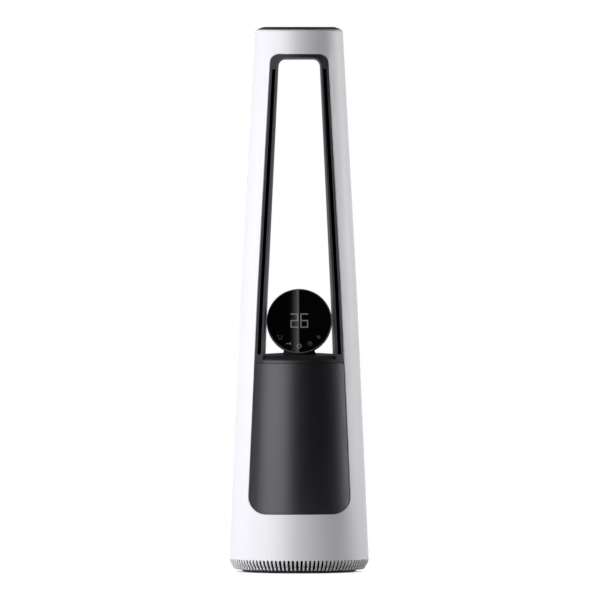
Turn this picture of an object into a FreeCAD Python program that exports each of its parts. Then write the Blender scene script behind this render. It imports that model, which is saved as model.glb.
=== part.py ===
import FreeCAD, Part
import math
import os

from FreeCAD import Rotation, Vector

# A tower fan with an air purifier in its foot. Millimetres, +Z up, front towards -Y.
# The origin is on the floor, under the middle of the base.

# Clearances and cuts
OVERRUN = 5.0
RUN_GAP = 0.3
SHAFT_GAP = 0.05
SCREW_GAP = 0.1
SEAM = 0.3

# Outer form of the casing
TOTAL_H = 1050.0
SKIN_R_LOW = 134.0
SKIN_R_TOP = 84.0
SKIN_BULGE = 2.5
SHELL_T = 3.0
TOP_ROUND = 4.0
BAND_W = 31.6
BRIDGE_H = 47.2
CUT_EDGE_R = 1.2
CUT_TOP_R = 17.0
CUT_LOW_R = 33.0
CUT_BACK_R = 10.0

# Top cap
CAP_H = 5.0
CAP_INSET = 5.0
CAP_EDGE_H = 1.2
CAP_BEVEL_W = 11.0
CAP_PLUG_INSET = 9.0
CAP_PLUG_H = 9.0
CAP_PLUG_T = 2.5

# Rubber feet and base plate
FOOT_H = 1.5
FOOT_R = 9.0
FOOT_COUNT = 6
FOOT_INSET = 15.0
BASE_INSET = 24.0
BASE_T = 4.5
BASE_EDGE_R = 1.5

# Pivot between base and tower
GLIDE_T = 1.5
GLIDE_W = 12.0
GLIDE_INSET = 14.0
POST_R = 24.0
POST_BORE_R = 16.0
BUSH_T = 3.0
HUB_T = 6.0
HUB_H = 3.0
COLLAR_T = 2.5
COLLAR_LAP = 8.0
PIVOT_SCREWS = 3

# Turntable plate
TURN_T = 3.2
TURN_LAP = 6.0
BASE_GAP = 2.5

# Slatted intake ring
RING_H = 21.0
RING_DROP = 1.0
RING_WALL = 3.0
RING_TUCK = 6.5
RING_FOOT_R = 5.5
RING_BELLY = 4.0
RING_BAND = 0.8
TONGUE_H = 5.0
TONGUE_T = 2.2
SLOT_COUNT = 100
SLAT_GAP = 4.7

# Oscillation drive
SUN_SHARE = 9 / 11
SUN_TEETH = 60
PINION_TEETH = 15
PRESSURE_DEG = 20.0
BACKLASH = 0.25
MESH_GAP = 0.1
ADDENDUM_SHARE = 0.9
DEDENDUM_SHARE = 1.25
FLANK_STEPS = 5
GEAR_T = 6.5
STEPPER_R = 14.0
STEPPER_H = 19.0
STEPPER_LIFT = 3.2
EAR_REACH = 3.5
EAR_HALF = 4.0
EAR_T = 1.2
DRIVE_SHAFT_R = 2.5
DRIVE_SHAFT_GRIP = 8.0

# Electronics drum and what it holds
DRUM_H = 99.5
DRUM_WALL = 2.5
DRUM_CLEAR = 15.0
BOARD_T = 1.6
BOARD_W = 50.0
BOARD_Y = -37.0
STANDOFF_H = 41.0
STANDOFF_R = 2.5
STANDOFF_CLEAR = 1.7
STANDOFF_INSET = 4.0
TRANSFORMER = Vector(30.0, 24.0, 20.0)
CAPACITOR_R = 6.0
CAPACITOR_H = 22.0
CHIP = Vector(14.0, 14.0, 2.0)
CONNECTOR = Vector(18.0, 8.0, 9.0)
TRANSFORMER_SHARES = (-0.28, 0.05)
CHIP_SHARES = (0.1, -0.15)
CONNECTOR_SHARES = (0.32, 0.32)
CAPACITOR_SHARES = ((0.28, -0.2), (0.42, -0.2))
SENSOR = Vector(14.0, 38.0, 34.0)
SENSOR_Z = 45.0

# Power inlet at the back
INLET_Z = 60.0
INLET_W = 32.0
INLET_H = 24.0
INLET_DEPTH = 22.0
INLET_FLANGE = 3.0
INLET_RECESS = 0.6
INLET_EDGE_R = 3.0
SOCKET_W = 17.0
SOCKET_H = 9.6
SOCKET_DEPTH = 15.0
PIN_R = 1.2
PIN_PITCH = 8.6
PIN_L = 9.0
LEAD_R = 3.2

# Filter bay
FLOOR_T = 4.0
FLOOR_LAP = 4.0
CUT_STEP = 1.0
BAY_POST_R = 5.0
BAY_POST_CLEAR = 10.0
BAY_POST_DEGREES = (10.0, 60.0, 120.0, 170.0)

# Filter drawer
COVER_T = 3.0
COVER_SEAM = 0.6
COVER_TOP_R = 2.0
COVER_EDGE_R = 0.8
TRAY_T = 4.0
TRAY_INSET = 9.0
TRAY_RIM_H = 5.0
TRAY_RIM_T = 2.0
STRIKE_W = 16.0
STRIKE_T = 1.5
MAGNET_D = 6.0
MAGNET_RISE = 6.0
FILTER_INSET = 56.0
FILTER_WALL = 28.0
FILTER_H = 177.0
FILTER_CAP_T = 6.0
FILTER_RIM = 2.0
CORE_T = 2.0
PLEAT_COUNT = 60
PLEAT_DEPTH = 15.0
PLEAT_T = 4.0
SEAL_T = 4.0
SEAL_W = 14.0

# Fan deck, housing and impeller
FAN_DECK_T = 4.0
MOUTH_EDGE = 2.0
FAN_R = 80.0
FAN_TIP_GAP = 1.0
FAN_WALL = 3.5
FAN_FLANGE = 8.0
FAN_FLANGE_T = 3.0
FAN_SCREWS = 4
IMPELLER_LIFT = 4.0
IMPELLER_H = 38.0
IMPELLER_LIP_H = 16.0
HUB_R_LOW = 20.0
HUB_R_HIGH = 50.0
HUB_SKIRT_T = 4.0
BLADE_COUNT = 9
BLADE_T = 2.2
BLADE_PITCH = 38.0
STATOR_GAP = 6.0
VANE_COUNT = 7
VANE_T = 2.4
VANE_H = 20.0
VANE_PITCH = -28.0

# Fan motor
CUP_WALL = 2.5
CUP_FLOOR = 3.0
SLEEVE_T = 3.0
MOTOR_R = 30.0
MOTOR_H = 33.0
MOTOR_WALL = 1.5
BEARING_R = 11.0
BEARING_T = 6.0
MOTOR_SHAFT_R = 4.0
SHAFT_TAIL = 1.0
CORE_H = 15.0
CORE_YOKE = 4.5
CORE_TEETH = 9
CORE_TOOTH_W = 5.0
CORE_TOOTH_L = 4.5
AIR_GAP = 0.6
NUT_AF = 13.0
NUT_H = 6.0

# Pressure chamber above the fan deck
CHAMBER_H = 100.3
CHAMBER_INSET = 6.0
CHAMBER_WALL = 2.5
CHAMBER_LAP = 8.0

# Loop liner with its outlet slots
LIP_LOW = 20.5
LIP_HIGH = 16.4
LIP_TOP = 11.0
LIP_RECESS = 0.8
LINER_T = 2.5
TUNNEL_TOP_R = 13.0
TUNNEL_LOW_R = 3.0
TUNNEL_FLARE = 11.0
TUNNEL_DROP = 14.0
OUTLET_INSET = 4.4
OUTLET_W = 6.5
OUTLET_RISE = 16.0
OUTLET_DROP = 29.0
NOZZLE_T = 1.6
NOZZLE_DEPTH = 11.0
RIB_COUNT = 9
RIB_T = 1.4
RIB_SETBACK = 4.0

# Display shelf
SHELF_RISE = 17.0
SHELF_EDGE = 1.2
SHELF_DROP = 4.0
SHELF_FLAT_R = 40.0
SHOULDER_R = 12.0
SHELF_WALL = 3.0

# Display
DISPLAY_TILT = 10.0
DISPLAY_GROW = 0.6
DISPLAY_LIFT = 1.2
DISPLAY_Y = -70.0
DISPLAY_T = 21.0
DISPLAY_WALL = 2.5
DISPLAY_BACK_R = 9.0
BEZEL_W = 2.0
BEZEL_H = 5.0
BEZEL_EDGE = 1.0
GLASS_T = 1.8
GLASS_SINK = 0.4
DISPLAY_BOARD_INSET = 1.0
STAND_Y = -50.0
STAND_W = 72.0
STAND_D = 30.0
STAND_TOP_W = 48.0
STAND_TOP_D = 18.0
STAND_H = 44.0
STAND_R = 8.0

# Screws
SCREW_R = 1.5
SCREW_HEAD_R = 2.8
SCREW_HEAD_H = 1.8
SCREW_SLOT_W = 0.8
SCREW_SLOT_DEPTH = 0.8
SCREW_L = 8.0
BOSS_R = 6.0
BOSS_DEPTH = 14.0
BOSS_SKIN = 4.0
CASE_SCREW_X = 45.0
CASE_LUG_W = 12.0
CASE_LUG_D = 12.0
CASE_LUG_H = 12.0

# Heights that follow from the sizes above
BASE_TOP = FOOT_H + BASE_T
TURN_Z = BASE_TOP + GLIDE_T + RUN_GAP
TURN_TOP = TURN_Z + TURN_T
HUB_TOP = TURN_TOP + HUB_H
GEAR_Z = HUB_TOP + RUN_GAP
GEAR_TOP = GEAR_Z + GEAR_T
STEPPER_Z = GEAR_TOP + STEPPER_LIFT
RING_Z = BASE_TOP - RING_DROP
RING_TOP = RING_Z + RING_H
BOARD_Z = TURN_TOP + STANDOFF_H
FLOOR_Z = TURN_TOP + DRUM_H
FLOOR_TOP = FLOOR_Z + FLOOR_T
CUT_LOW = FLOOR_TOP - CUT_STEP
TRAY_Z = FLOOR_TOP + RUN_GAP
TRAY_TOP = TRAY_Z + TRAY_T
SEAL_Z = TRAY_TOP + FILTER_H
FAN_DECK_Z = SEAL_Z + SEAL_T + RUN_GAP
FAN_DECK_TOP = FAN_DECK_Z + FAN_DECK_T
IMPELLER_Z = FAN_DECK_TOP + IMPELLER_LIFT
IMPELLER_TOP = IMPELLER_Z + IMPELLER_H
STATOR_Z = IMPELLER_TOP + STATOR_GAP
STATOR_TOP = STATOR_Z + VANE_H
MOTOR_Z = STATOR_Z + CUP_FLOOR
MOTOR_TOP = MOTOR_Z + MOTOR_H
LOOP_LOW = FAN_DECK_TOP + CHAMBER_H
CROWN = LOOP_LOW + SHELF_RISE
CAP_SEAT = TOTAL_H - CAP_H
CUT_TOP = CAP_SEAT - BRIDGE_H
TUNNEL_TOP = CUT_TOP - LIP_TOP
TUNNEL_LOW = LOOP_LOW - TUNNEL_DROP
OUTLET_LOW = LOOP_LOW + OUTLET_RISE
OUTLET_TOP = CUT_TOP - OUTLET_DROP

# Radii that follow from the sizes above
BASE_R = SKIN_R_LOW - BASE_INSET
RING_BORE_R = BASE_R + BASE_GAP
TURN_R = RING_BORE_R + TURN_LAP
HUB_R = POST_R + SHAFT_GAP + BUSH_T
MODULE = BASE_R * SUN_SHARE / SUN_TEETH
SUN_R = MODULE * SUN_TEETH / 2
PINION_R = MODULE * PINION_TEETH / 2
SUN_TIP_R = SUN_R + MODULE * ADDENDUM_SHARE
MESH_D = SUN_R + PINION_R + MESH_GAP
EAR_X = STEPPER_R + EAR_REACH
DRUM_BORE_R = MESH_D + STEPPER_R + DRUM_CLEAR
DRUM_R = DRUM_BORE_R + DRUM_WALL
STANDOFF_X = SUN_TIP_R + STANDOFF_CLEAR + STANDOFF_R
BOARD_L = 2 * (STANDOFF_X + STANDOFF_INSET)
FILTER_R = SKIN_R_LOW - FILTER_INSET
FILTER_BORE_R = FILTER_R - FILTER_WALL
INLET_MOUTH_R = FILTER_BORE_R
BAY_POST_PCD_R = FILTER_R + BAY_POST_CLEAR + BAY_POST_R
FLOOR_R = BAY_POST_PCD_R + BAY_POST_R + FLOOR_LAP
TRAY_HALF = FILTER_R - TRAY_INSET
TRAY_BACK = FILTER_R - RUN_GAP
CUP_BORE_R = MOTOR_R + SLEEVE_T
CUP_R = CUP_BORE_R + CUP_WALL
FAN_BORE_R = FAN_R + FAN_TIP_GAP
FAN_OUT_R = FAN_BORE_R + FAN_WALL
FAR_Y = SKIN_R_LOW + OVERRUN
SKIN_MID = (RING_TOP + CAP_SEAT) / 2
SKIN_HALF = (CAP_SEAT - RING_TOP) / 2
SKIN_R_MID = (SKIN_R_LOW + SKIN_R_TOP) / 2 + SKIN_BULGE


def skin_r(z):
    """Radius of the casing's outer skin at a height: two cones that meet in a very flat bend."""
    share = (z - SKIN_MID) / SKIN_HALF
    end_r = SKIN_R_TOP if share > 0 else SKIN_R_LOW
    return SKIN_R_MID + (end_r - SKIN_R_MID) * abs(share)


def cut_half(z):
    """Half width of the front cut-out: the casing leaves a band of even width beside it."""
    return skin_r(z) - BAND_W


def tunnel_half(z):
    """Half width of the see-through loop in its middle plane."""
    share = (z - LOOP_LOW) / (CUT_TOP - LOOP_LOW)
    return cut_half(z) - LIP_LOW - (LIP_HIGH - LIP_LOW) * share


# The display stands in the flared mouth, so it may be a little wider than the loop's middle plane.
DISPLAY_R = tunnel_half(CROWN + tunnel_half(CROWN)) + DISPLAY_GROW
DISPLAY_Z = CROWN + DISPLAY_LIFT + DISPLAY_R * math.cos(math.radians(DISPLAY_TILT))
SHELF_R = skin_r(LOOP_LOW) - LIP_RECESS
SHOULDER_IN_R = SHELF_R - SHOULDER_R


# Shared shapes

def disc(radius, z_low, z_high, x=0.0, y=0.0):
    return Part.makeCylinder(radius, z_high - z_low, Vector(x, y, z_low))


def tube(outer, inner, z_low, z_high):
    hole = disc(inner, z_low - OVERRUN, z_high + OVERRUN)
    return disc(outer, z_low, z_high).cut(hole)


def block(x_low, x_high, y_low, y_high, z_low, z_high):
    size = (x_high - x_low, y_high - y_low, z_high - z_low)
    return Part.makeBox(*size, Vector(x_low, y_low, z_low))


def front_half(gap=0.0):
    return block(-FAR_Y, FAR_Y, -FAR_Y, -gap, 0, TOTAL_H)


def back_half(gap=0.0):
    return block(-FAR_Y, FAR_Y, gap, FAR_Y, 0, TOTAL_H)


def slab(z_low, z_high):
    return block(-FAR_Y, FAR_Y, -FAR_Y, FAR_Y, z_low, z_high)


def line(start, end):
    return Part.LineSegment(start, end).toShape()


def arc(start, middle, end):
    return Part.Arc(start, middle, end).toShape()


def spun(edges, half=None):
    """Solid of revolution about Z from a closed outline: all round, or only its front or back half."""
    face = Part.Face(Part.Wire(edges))
    if half == "front":
        face.rotate(Vector(0, 0, 0), Vector(0, 0, 1), 180)
    return face.revolve(Vector(0, 0, 0), Vector(0, 0, 1), 180 if half else 360)


def spun_points(points):
    corners = [Vector(r, 0, z) for r, z in points]
    return spun([line(a, b) for a, b in zip(corners, corners[1:] + corners[:1])])


def ring_copies(shape, count, start=0.0):
    """Copies of a shape at even steps about the Z axis."""
    copies = []
    for index in range(count):
        copy = shape.copy()
        copy.rotate(Vector(0, 0, 0), Vector(0, 0, 1), start + 360.0 * index / count)
        copies.append(copy)
    return copies


def skin_point(z, inset):
    return Vector(skin_r(z) - inset, 0, z)


def skin_line(inset, z_low, z_high):
    """The skin's profile from one height to another, upwards or downwards, as its straight edges."""
    heights = [z_low, z_high]
    if min(heights) < SKIN_MID < max(heights):
        heights.insert(1, SKIN_MID)
    points = [skin_point(z, inset) for z in heights]
    return [line(a, b) for a, b in zip(points, points[1:])]


def skin_solid(inset):
    """All that lies inside the skin, less an inset."""
    axis_low = Vector(0, 0, RING_TOP)
    axis_high = Vector(0, 0, CAP_SEAT)
    edges = skin_line(inset, RING_TOP, CAP_SEAT)
    edges.append(line(skin_point(CAP_SEAT, inset), axis_high))
    edges.append(line(axis_high, axis_low))
    edges.append(line(axis_low, skin_point(RING_TOP, inset)))
    return spun(edges)


def skin_layer(outer_inset, inner_inset, half=None):
    """A conical wall between two insets from the skin."""
    edges = skin_line(outer_inset, RING_TOP, CAP_SEAT)
    edges.append(line(skin_point(CAP_SEAT, outer_inset), skin_point(CAP_SEAT, inner_inset)))
    edges += skin_line(inner_inset, CAP_SEAT, RING_TOP)
    edges.append(line(skin_point(RING_TOP, inner_inset), skin_point(RING_TOP, outer_inset)))
    return spun(edges, half)


def rounded_corner(before, corner, after, radius):
    """Start, middle and end of the arc that rounds one corner of an outline."""
    back = (before - corner).normalize()
    ahead = (after - corner).normalize()
    half = back.getAngle(ahead) / 2
    inward = (back + ahead).normalize()
    reach = radius / math.tan(half)
    middle = corner + inward * (radius / math.sin(half) - radius)
    return corner + back * reach, middle, corner + ahead * reach


def rounded_wire(corners, radii):
    """Closed outline through corners, each rounded by its radius, or left sharp where that is zero."""
    count = len(corners)
    rounds = []
    for index, radius in enumerate(radii):
        corner = corners[index]
        if radius > 0:
            rounds.append(rounded_corner(corners[index - 1], corner, corners[(index + 1) % count], radius))
        else:
            rounds.append((corner, None, corner))
    edges = []
    for index, (start, middle, end) in enumerate(rounds):
        if middle:
            edges.append(arc(start, middle, end))
        edges.append(line(end, rounds[(index + 1) % count][0]))
    return Part.Wire(edges)


def side_heights(z_low, z_high):
    """Heights of an upright edge's ends, and of the skin's bend where it lies between them."""
    return [z_low, SKIN_MID, z_high] if z_low < SKIN_MID < z_high else [z_low, z_high]


def front_outline(z_low, z_high, half_width, radius_low, radius_high, y):
    """A tall outline in a plane of even Y, with rounded corners, that follows a half width."""
    heights = side_heights(z_low, z_high)
    right = [Vector(half_width(z), y, z) for z in heights]
    left = [Vector(-half_width(z), y, z) for z in heights[::-1]]
    bends = [0] * (len(heights) - 2)
    right_radii = [radius_low] + bends + [radius_high]
    return rounded_wire(right + left, right_radii + right_radii[::-1])


def rounded_box_wire(half, z_low, z_high, radius, y):
    """A rounded rectangle in a plane of even Y."""
    corners = [Vector(-half, y, z_low), Vector(half, y, z_low)]
    corners += [Vector(half, y, z_high), Vector(-half, y, z_high)]
    return rounded_wire(corners, (radius,) * 4)


def prism_y(wire, depth):
    return Part.Face(wire).extrude(Vector(0, depth, 0))


def tunnel(grow):
    """The see-through space of the loop, grown by a wall: narrowest in the middle plane."""
    wires = []
    for depth, flare in ((-FAR_Y, TUNNEL_FLARE), (0, 0), (FAR_Y, TUNNEL_FLARE)):
        spread = grow + flare
        low = TUNNEL_LOW - grow
        high = TUNNEL_TOP + spread

        def half(z, spread=spread):
            return tunnel_half(z) + spread

        wires.append(front_outline(low, high, half, TUNNEL_LOW_R + grow, TUNNEL_TOP_R + spread, depth))
    return Part.makeLoft(wires, True, False)


def screw(place, direction, length):
    """A pan head screw: place is under its head, direction points along its shank."""
    head_top = place - direction * SCREW_HEAD_H
    head = Part.makeCylinder(SCREW_HEAD_R, SCREW_HEAD_H, head_top, direction)
    shank = Part.makeCylinder(SCREW_R, length, place, direction)
    half = SCREW_SLOT_W / 2
    slot = block(-SCREW_HEAD_R, SCREW_HEAD_R, -half, half, 0, SCREW_SLOT_DEPTH)
    turned = FreeCAD.Placement(head_top, Rotation(Vector(0, 0, 1), direction))
    slot.Placement = turned.multiply(slot.Placement)
    return head.fuse(shank).cut(slot).removeSplitter()


def polar(radius, degrees, z=0.0):
    angle = math.radians(degrees)
    return Vector(radius * math.cos(angle), radius * math.sin(angle), z)


def involute_angle(base_r, radius, offset):
    """Half of a tooth's angle at a radius, on flanks that are involutes of the base circle."""
    pressure = math.acos(base_r / radius)
    return offset - (math.tan(pressure) - pressure)


def gear(teeth, bore_r, z_low, z_high, turn):
    """Spur gear about its own axis, with a tooth centred on the angle turn."""
    pitch_r = MODULE * teeth / 2
    base_r = pitch_r * math.cos(math.radians(PRESSURE_DEG))
    tip_r = pitch_r + MODULE * ADDENDUM_SHARE
    root_r = pitch_r - MODULE * DEDENDUM_SHARE
    start_r = max(base_r, root_r)
    pressure = math.radians(PRESSURE_DEG)
    half_tooth = math.pi / (2 * teeth) - BACKLASH / (2 * pitch_r)
    offset = half_tooth + math.tan(pressure) - pressure
    edges = []
    for tooth in range(teeth):
        centre = math.radians(turn) + 2 * math.pi * tooth / teeth
        right = []
        left = []
        for step in range(FLANK_STEPS + 1):
            radius = start_r + (tip_r - start_r) * step / FLANK_STEPS
            angle = involute_angle(base_r, radius, offset)
            right.append(polar(radius, math.degrees(centre - angle), z_low))
            left.append(polar(radius, math.degrees(centre + angle), z_low))
        widest = involute_angle(base_r, start_r, offset)
        root_right = polar(root_r, math.degrees(centre - widest), z_low)
        root_left = polar(root_r, math.degrees(centre + widest), z_low)
        rise = Part.BSplineCurve()
        rise.interpolate(right)
        fall = Part.BSplineCurve()
        fall.interpolate(left[::-1])
        next_right = polar(root_r, math.degrees(centre + 2 * math.pi / teeth - widest), z_low)
        root_middle = polar(root_r, math.degrees(centre + math.pi / teeth), z_low)
        if start_r > root_r:
            edges.append(line(root_right, right[0]))
        edges.append(rise.toShape())
        edges.append(arc(right[-1], polar(tip_r, math.degrees(centre), z_low), left[-1]))
        edges.append(fall.toShape())
        if start_r > root_r:
            edges.append(line(left[0], root_left))
        edges.append(arc(root_left, root_middle, next_right))
    body = Part.Face(Part.Wire(edges)).extrude(Vector(0, 0, z_high - z_low))
    return body.cut(disc(bore_r, z_low - OVERRUN, z_high + OVERRUN))


# Base: what stays still on the floor

def rubber_feet():
    foot = disc(FOOT_R, 0, FOOT_H, BASE_R - FOOT_INSET, 0)
    return ring_copies(foot, FOOT_COUNT)


def post_screw_places(z, start):
    radius = (POST_R + POST_BORE_R) / 2
    return [polar(radius, start + 360.0 * index / PIVOT_SCREWS, z) for index in range(PIVOT_SCREWS)]


def base_plate():
    plate = disc(BASE_R, FOOT_H, BASE_TOP)
    rims = [edge for edge in plate.Edges if len(edge.Vertexes) == 1]
    plate = plate.makeFillet(BASE_EDGE_R, rims)
    for place in post_screw_places(FOOT_H, 0):
        plate = plate.cut(disc(SCREW_R + SCREW_GAP, FOOT_H - OVERRUN, BASE_TOP + OVERRUN, place.x, place.y))
        well_top = FOOT_H + SCREW_HEAD_H + SCREW_GAP
        plate = plate.cut(disc(SCREW_HEAD_R + SCREW_GAP, FOOT_H - OVERRUN, well_top, place.x, place.y))
    return [plate]


def base_screws():
    seat = FOOT_H + SCREW_HEAD_H + SCREW_GAP
    return [screw(place, Vector(0, 0, 1), SCREW_L) for place in post_screw_places(seat, 0)]


def glide_ring():
    outer = BASE_R - GLIDE_INSET
    return [tube(outer, outer - GLIDE_W, BASE_TOP, BASE_TOP + GLIDE_T)]


def pivot_post():
    post = tube(POST_R, POST_BORE_R, BASE_TOP, GEAR_TOP)
    hole_r = SCREW_R + SCREW_GAP
    depth = SCREW_L + SCREW_GAP
    for place in post_screw_places(BASE_TOP, 0):
        post = post.cut(disc(hole_r, BASE_TOP - OVERRUN, FOOT_H + SCREW_HEAD_H + depth, place.x, place.y))
    for place in post_screw_places(GEAR_TOP, 180.0 / PIVOT_SCREWS):
        post = post.cut(disc(hole_r, GEAR_TOP + COLLAR_T - depth, GEAR_TOP + OVERRUN, place.x, place.y))
    return [post]


def sun_gear():
    return [gear(SUN_TEETH, POST_R, GEAR_Z, GEAR_TOP, 90.0)]


def pivot_collar():
    collar = tube(POST_R + COLLAR_LAP, POST_BORE_R, GEAR_TOP, GEAR_TOP + COLLAR_T)
    hole_r = SCREW_R + SCREW_GAP
    for place in post_screw_places(GEAR_TOP, 180.0 / PIVOT_SCREWS):
        collar = collar.cut(disc(hole_r, GEAR_TOP - OVERRUN, GEAR_TOP + OVERRUN, place.x, place.y))
    return [collar]


def collar_screws():
    places = post_screw_places(GEAR_TOP + COLLAR_T, 180.0 / PIVOT_SCREWS)
    return [screw(place, Vector(0, 0, -1), SCREW_L) for place in places]


# Tower foot: turntable, drive and electronics

def standoff_places():
    near = BOARD_Y + BOARD_W / 2 - STANDOFF_INSET
    far = BOARD_Y - BOARD_W / 2 + STANDOFF_INSET
    return [(x, y) for x in (-STANDOFF_X, STANDOFF_X) for y in (near, far)]


def turntable_plate():
    plate = disc(TURN_R, TURN_Z, TURN_TOP).fuse(disc(HUB_R + HUB_T, TURN_Z, HUB_TOP))
    for x, y in standoff_places():
        plate = plate.fuse(disc(STANDOFF_R, TURN_Z, BOARD_Z, x, y))
    for x in (-EAR_X, EAR_X):
        plate = plate.fuse(disc(EAR_HALF, TURN_Z, STEPPER_Z, x, MESH_D))
    plate = plate.cut(disc(HUB_R, TURN_Z - OVERRUN, HUB_TOP + OVERRUN))
    for x in (-EAR_X, EAR_X):
        low = STEPPER_Z + EAR_T - SCREW_L - SCREW_GAP
        plate = plate.cut(disc(SCREW_R + SCREW_GAP, low, STEPPER_Z + OVERRUN, x, MESH_D))
    return [plate.removeSplitter()]


def pivot_bush():
    return [tube(HUB_R, POST_R + SHAFT_GAP, TURN_Z, HUB_TOP)]


def oscillation_motor():
    can = disc(STEPPER_R, STEPPER_Z, STEPPER_Z + STEPPER_H, 0, MESH_D)
    ears = block(-EAR_X, EAR_X, MESH_D - EAR_HALF, MESH_D + EAR_HALF, STEPPER_Z, STEPPER_Z + EAR_T)
    motor = can.fuse(ears)
    for x in (-EAR_X, EAR_X):
        motor = motor.fuse(disc(EAR_HALF, STEPPER_Z, STEPPER_Z + EAR_T, x, MESH_D))
    for x in (-EAR_X, EAR_X):
        hole = disc(SCREW_R + SCREW_GAP, STEPPER_Z - OVERRUN, STEPPER_Z + OVERRUN, x, MESH_D)
        motor = motor.cut(hole)
    grip_top = STEPPER_Z + DRIVE_SHAFT_GRIP + RUN_GAP
    motor = motor.cut(disc(DRIVE_SHAFT_R + SHAFT_GAP, STEPPER_Z - OVERRUN, grip_top, 0, MESH_D))
    return [motor.removeSplitter()]


def motor_screws():
    top = STEPPER_Z + EAR_T
    return [screw(Vector(x, MESH_D, top), Vector(0, 0, -1), SCREW_L) for x in (-EAR_X, EAR_X)]


def drive_shaft():
    return [disc(DRIVE_SHAFT_R, GEAR_Z, STEPPER_Z + DRIVE_SHAFT_GRIP, 0, MESH_D)]


def drive_pinion():
    gap_down = -90.0 + 180.0 / PINION_TEETH
    pinion = gear(PINION_TEETH, DRIVE_SHAFT_R, GEAR_Z, GEAR_TOP, gap_down)
    pinion.translate(Vector(0, MESH_D, 0))
    return [pinion]


def electronics_drum():
    drum = tube(DRUM_R, DRUM_BORE_R, TURN_TOP, FLOOR_Z)
    lead = Part.makeCylinder(LEAD_R + SCREW_GAP, SKIN_R_LOW, Vector(0, 0, INLET_Z), Vector(0, 1, 0))
    return [drum.cut(lead)]


def control_board():
    half = BOARD_L / 2
    return [block(-half, half, BOARD_Y - BOARD_W / 2, BOARD_Y + BOARD_W / 2, BOARD_Z, BOARD_Z + BOARD_T)]


def board_components():
    """Parts soldered on the control board, placed by shares of the board's size."""
    top = BOARD_Z + BOARD_T
    boxes = ((TRANSFORMER, TRANSFORMER_SHARES), (CHIP, CHIP_SHARES), (CONNECTOR, CONNECTOR_SHARES))
    solids = []
    for size, (x_share, y_share) in boxes:
        low = Vector(x_share * BOARD_L - size.x / 2, BOARD_Y + y_share * BOARD_W - size.y / 2, top)
        solids.append(Part.makeBox(size.x, size.y, size.z, low))
    for x_share, y_share in CAPACITOR_SHARES:
        y = BOARD_Y + y_share * BOARD_W
        solids.append(disc(CAPACITOR_R, top, top + CAPACITOR_H, x_share * BOARD_L, y))
    return solids


def dust_sensor():
    """Particle sensor on the drum's left wall, in the stream of air that comes in."""
    high = SENSOR_Z + SENSOR.z
    body = block(-DRUM_R - SENSOR.x, -DRUM_BORE_R, -SENSOR.y / 2, SENSOR.y / 2, SENSOR_Z, high)
    return [body.cut(disc(DRUM_R, SENSOR_Z - OVERRUN, high + OVERRUN))]


def inlet_outline(grow, y):
    low = INLET_Z - INLET_H / 2 - grow
    high = INLET_Z + INLET_H / 2 + grow
    return rounded_box_wire(INLET_W / 2 + grow, low, high, INLET_EDGE_R + grow, y)


def inlet_back():
    return skin_r(INLET_Z) - INLET_DEPTH


def power_inlet():
    plug_body = prism_y(inlet_outline(0, inlet_back()), FAR_Y).common(skin_solid(INLET_RECESS))
    flange = prism_y(inlet_outline(INLET_FLANGE, inlet_back()), FAR_Y).common(skin_solid(SHELL_T + SEAM))
    body = plug_body.fuse(flange)
    face_y = skin_r(INLET_Z) - INLET_RECESS
    low = INLET_Z - SOCKET_H / 2
    high = INLET_Z + SOCKET_H / 2
    socket = rounded_box_wire(SOCKET_W / 2, low, high, INLET_EDGE_R, face_y - SOCKET_DEPTH)
    return [body.cut(prism_y(socket, FAR_Y)).removeSplitter()]


def inlet_pins():
    floor_y = skin_r(INLET_Z) - INLET_RECESS - SOCKET_DEPTH
    pins = []
    for x in (-PIN_PITCH / 2, PIN_PITCH / 2):
        pins.append(Part.makeCylinder(PIN_R, PIN_L, Vector(x, floor_y, INLET_Z), Vector(0, 1, 0)))
    return pins


def inlet_lead():
    start = Vector(0, DRUM_BORE_R, INLET_Z)
    return [Part.makeCylinder(LEAD_R, inlet_back() - DRUM_BORE_R, start, Vector(0, 1, 0))]


# Casing

def intake_ring():
    bottom_r = SKIN_R_LOW - RING_TUCK
    middle_z = (RING_Z + RING_FOOT_R + RING_TOP) / 2
    middle_r = (bottom_r + SKIN_R_LOW) / 2 + RING_BELLY / 2
    inner_top_r = SKIN_R_LOW - RING_WALL
    tongue_out = SKIN_R_LOW - SHELL_T - SEAM
    tongue_in = tongue_out - TONGUE_T
    tongue_low = RING_TOP - TONGUE_H
    points = [(SKIN_R_LOW, RING_TOP), (tongue_out, RING_TOP), (tongue_out, RING_TOP + TONGUE_H)]
    points += [(tongue_in, RING_TOP + TONGUE_H), (tongue_in, tongue_low), (inner_top_r, tongue_low)]
    points += [(bottom_r - RING_WALL, TURN_Z), (RING_BORE_R, TURN_Z), (RING_BORE_R, RING_Z)]
    points.append((bottom_r - RING_FOOT_R, RING_Z))
    corners = [Vector(r, 0, z) for r, z in points]
    foot_top = Vector(bottom_r, 0, RING_Z + RING_FOOT_R)
    round_in = RING_FOOT_R * (1 - math.sqrt(0.5))
    edges = [arc(foot_top, Vector(middle_r, 0, middle_z), corners[0])]
    edges += [line(a, b) for a, b in zip(corners, corners[1:])]
    edges.append(arc(corners[-1], Vector(bottom_r - round_in, 0, RING_Z + round_in), foot_top))
    ring = spun(edges)
    half = SLAT_GAP / 2
    slot_top = RING_TOP - RING_BAND
    inner = TURN_R + SEAM
    low_left = Vector(inner, -half, RING_Z - OVERRUN)
    low_right = Vector(inner, half, RING_Z - OVERRUN)
    high_left = Vector(inner, -half, slot_top - half)
    high_right = Vector(inner, half, slot_top - half)
    edges = [line(low_left, low_right), line(low_right, high_right)]
    edges += [arc(high_right, Vector(inner, 0, slot_top), high_left), line(high_left, low_left)]
    slot = Part.Face(Part.Wire(edges)).extrude(Vector(FAR_Y - inner, 0, 0))
    return [ring.cut(Part.makeCompound(ring_copies(slot, SLOT_COUNT, 180.0 / SLOT_COUNT)))]


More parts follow.
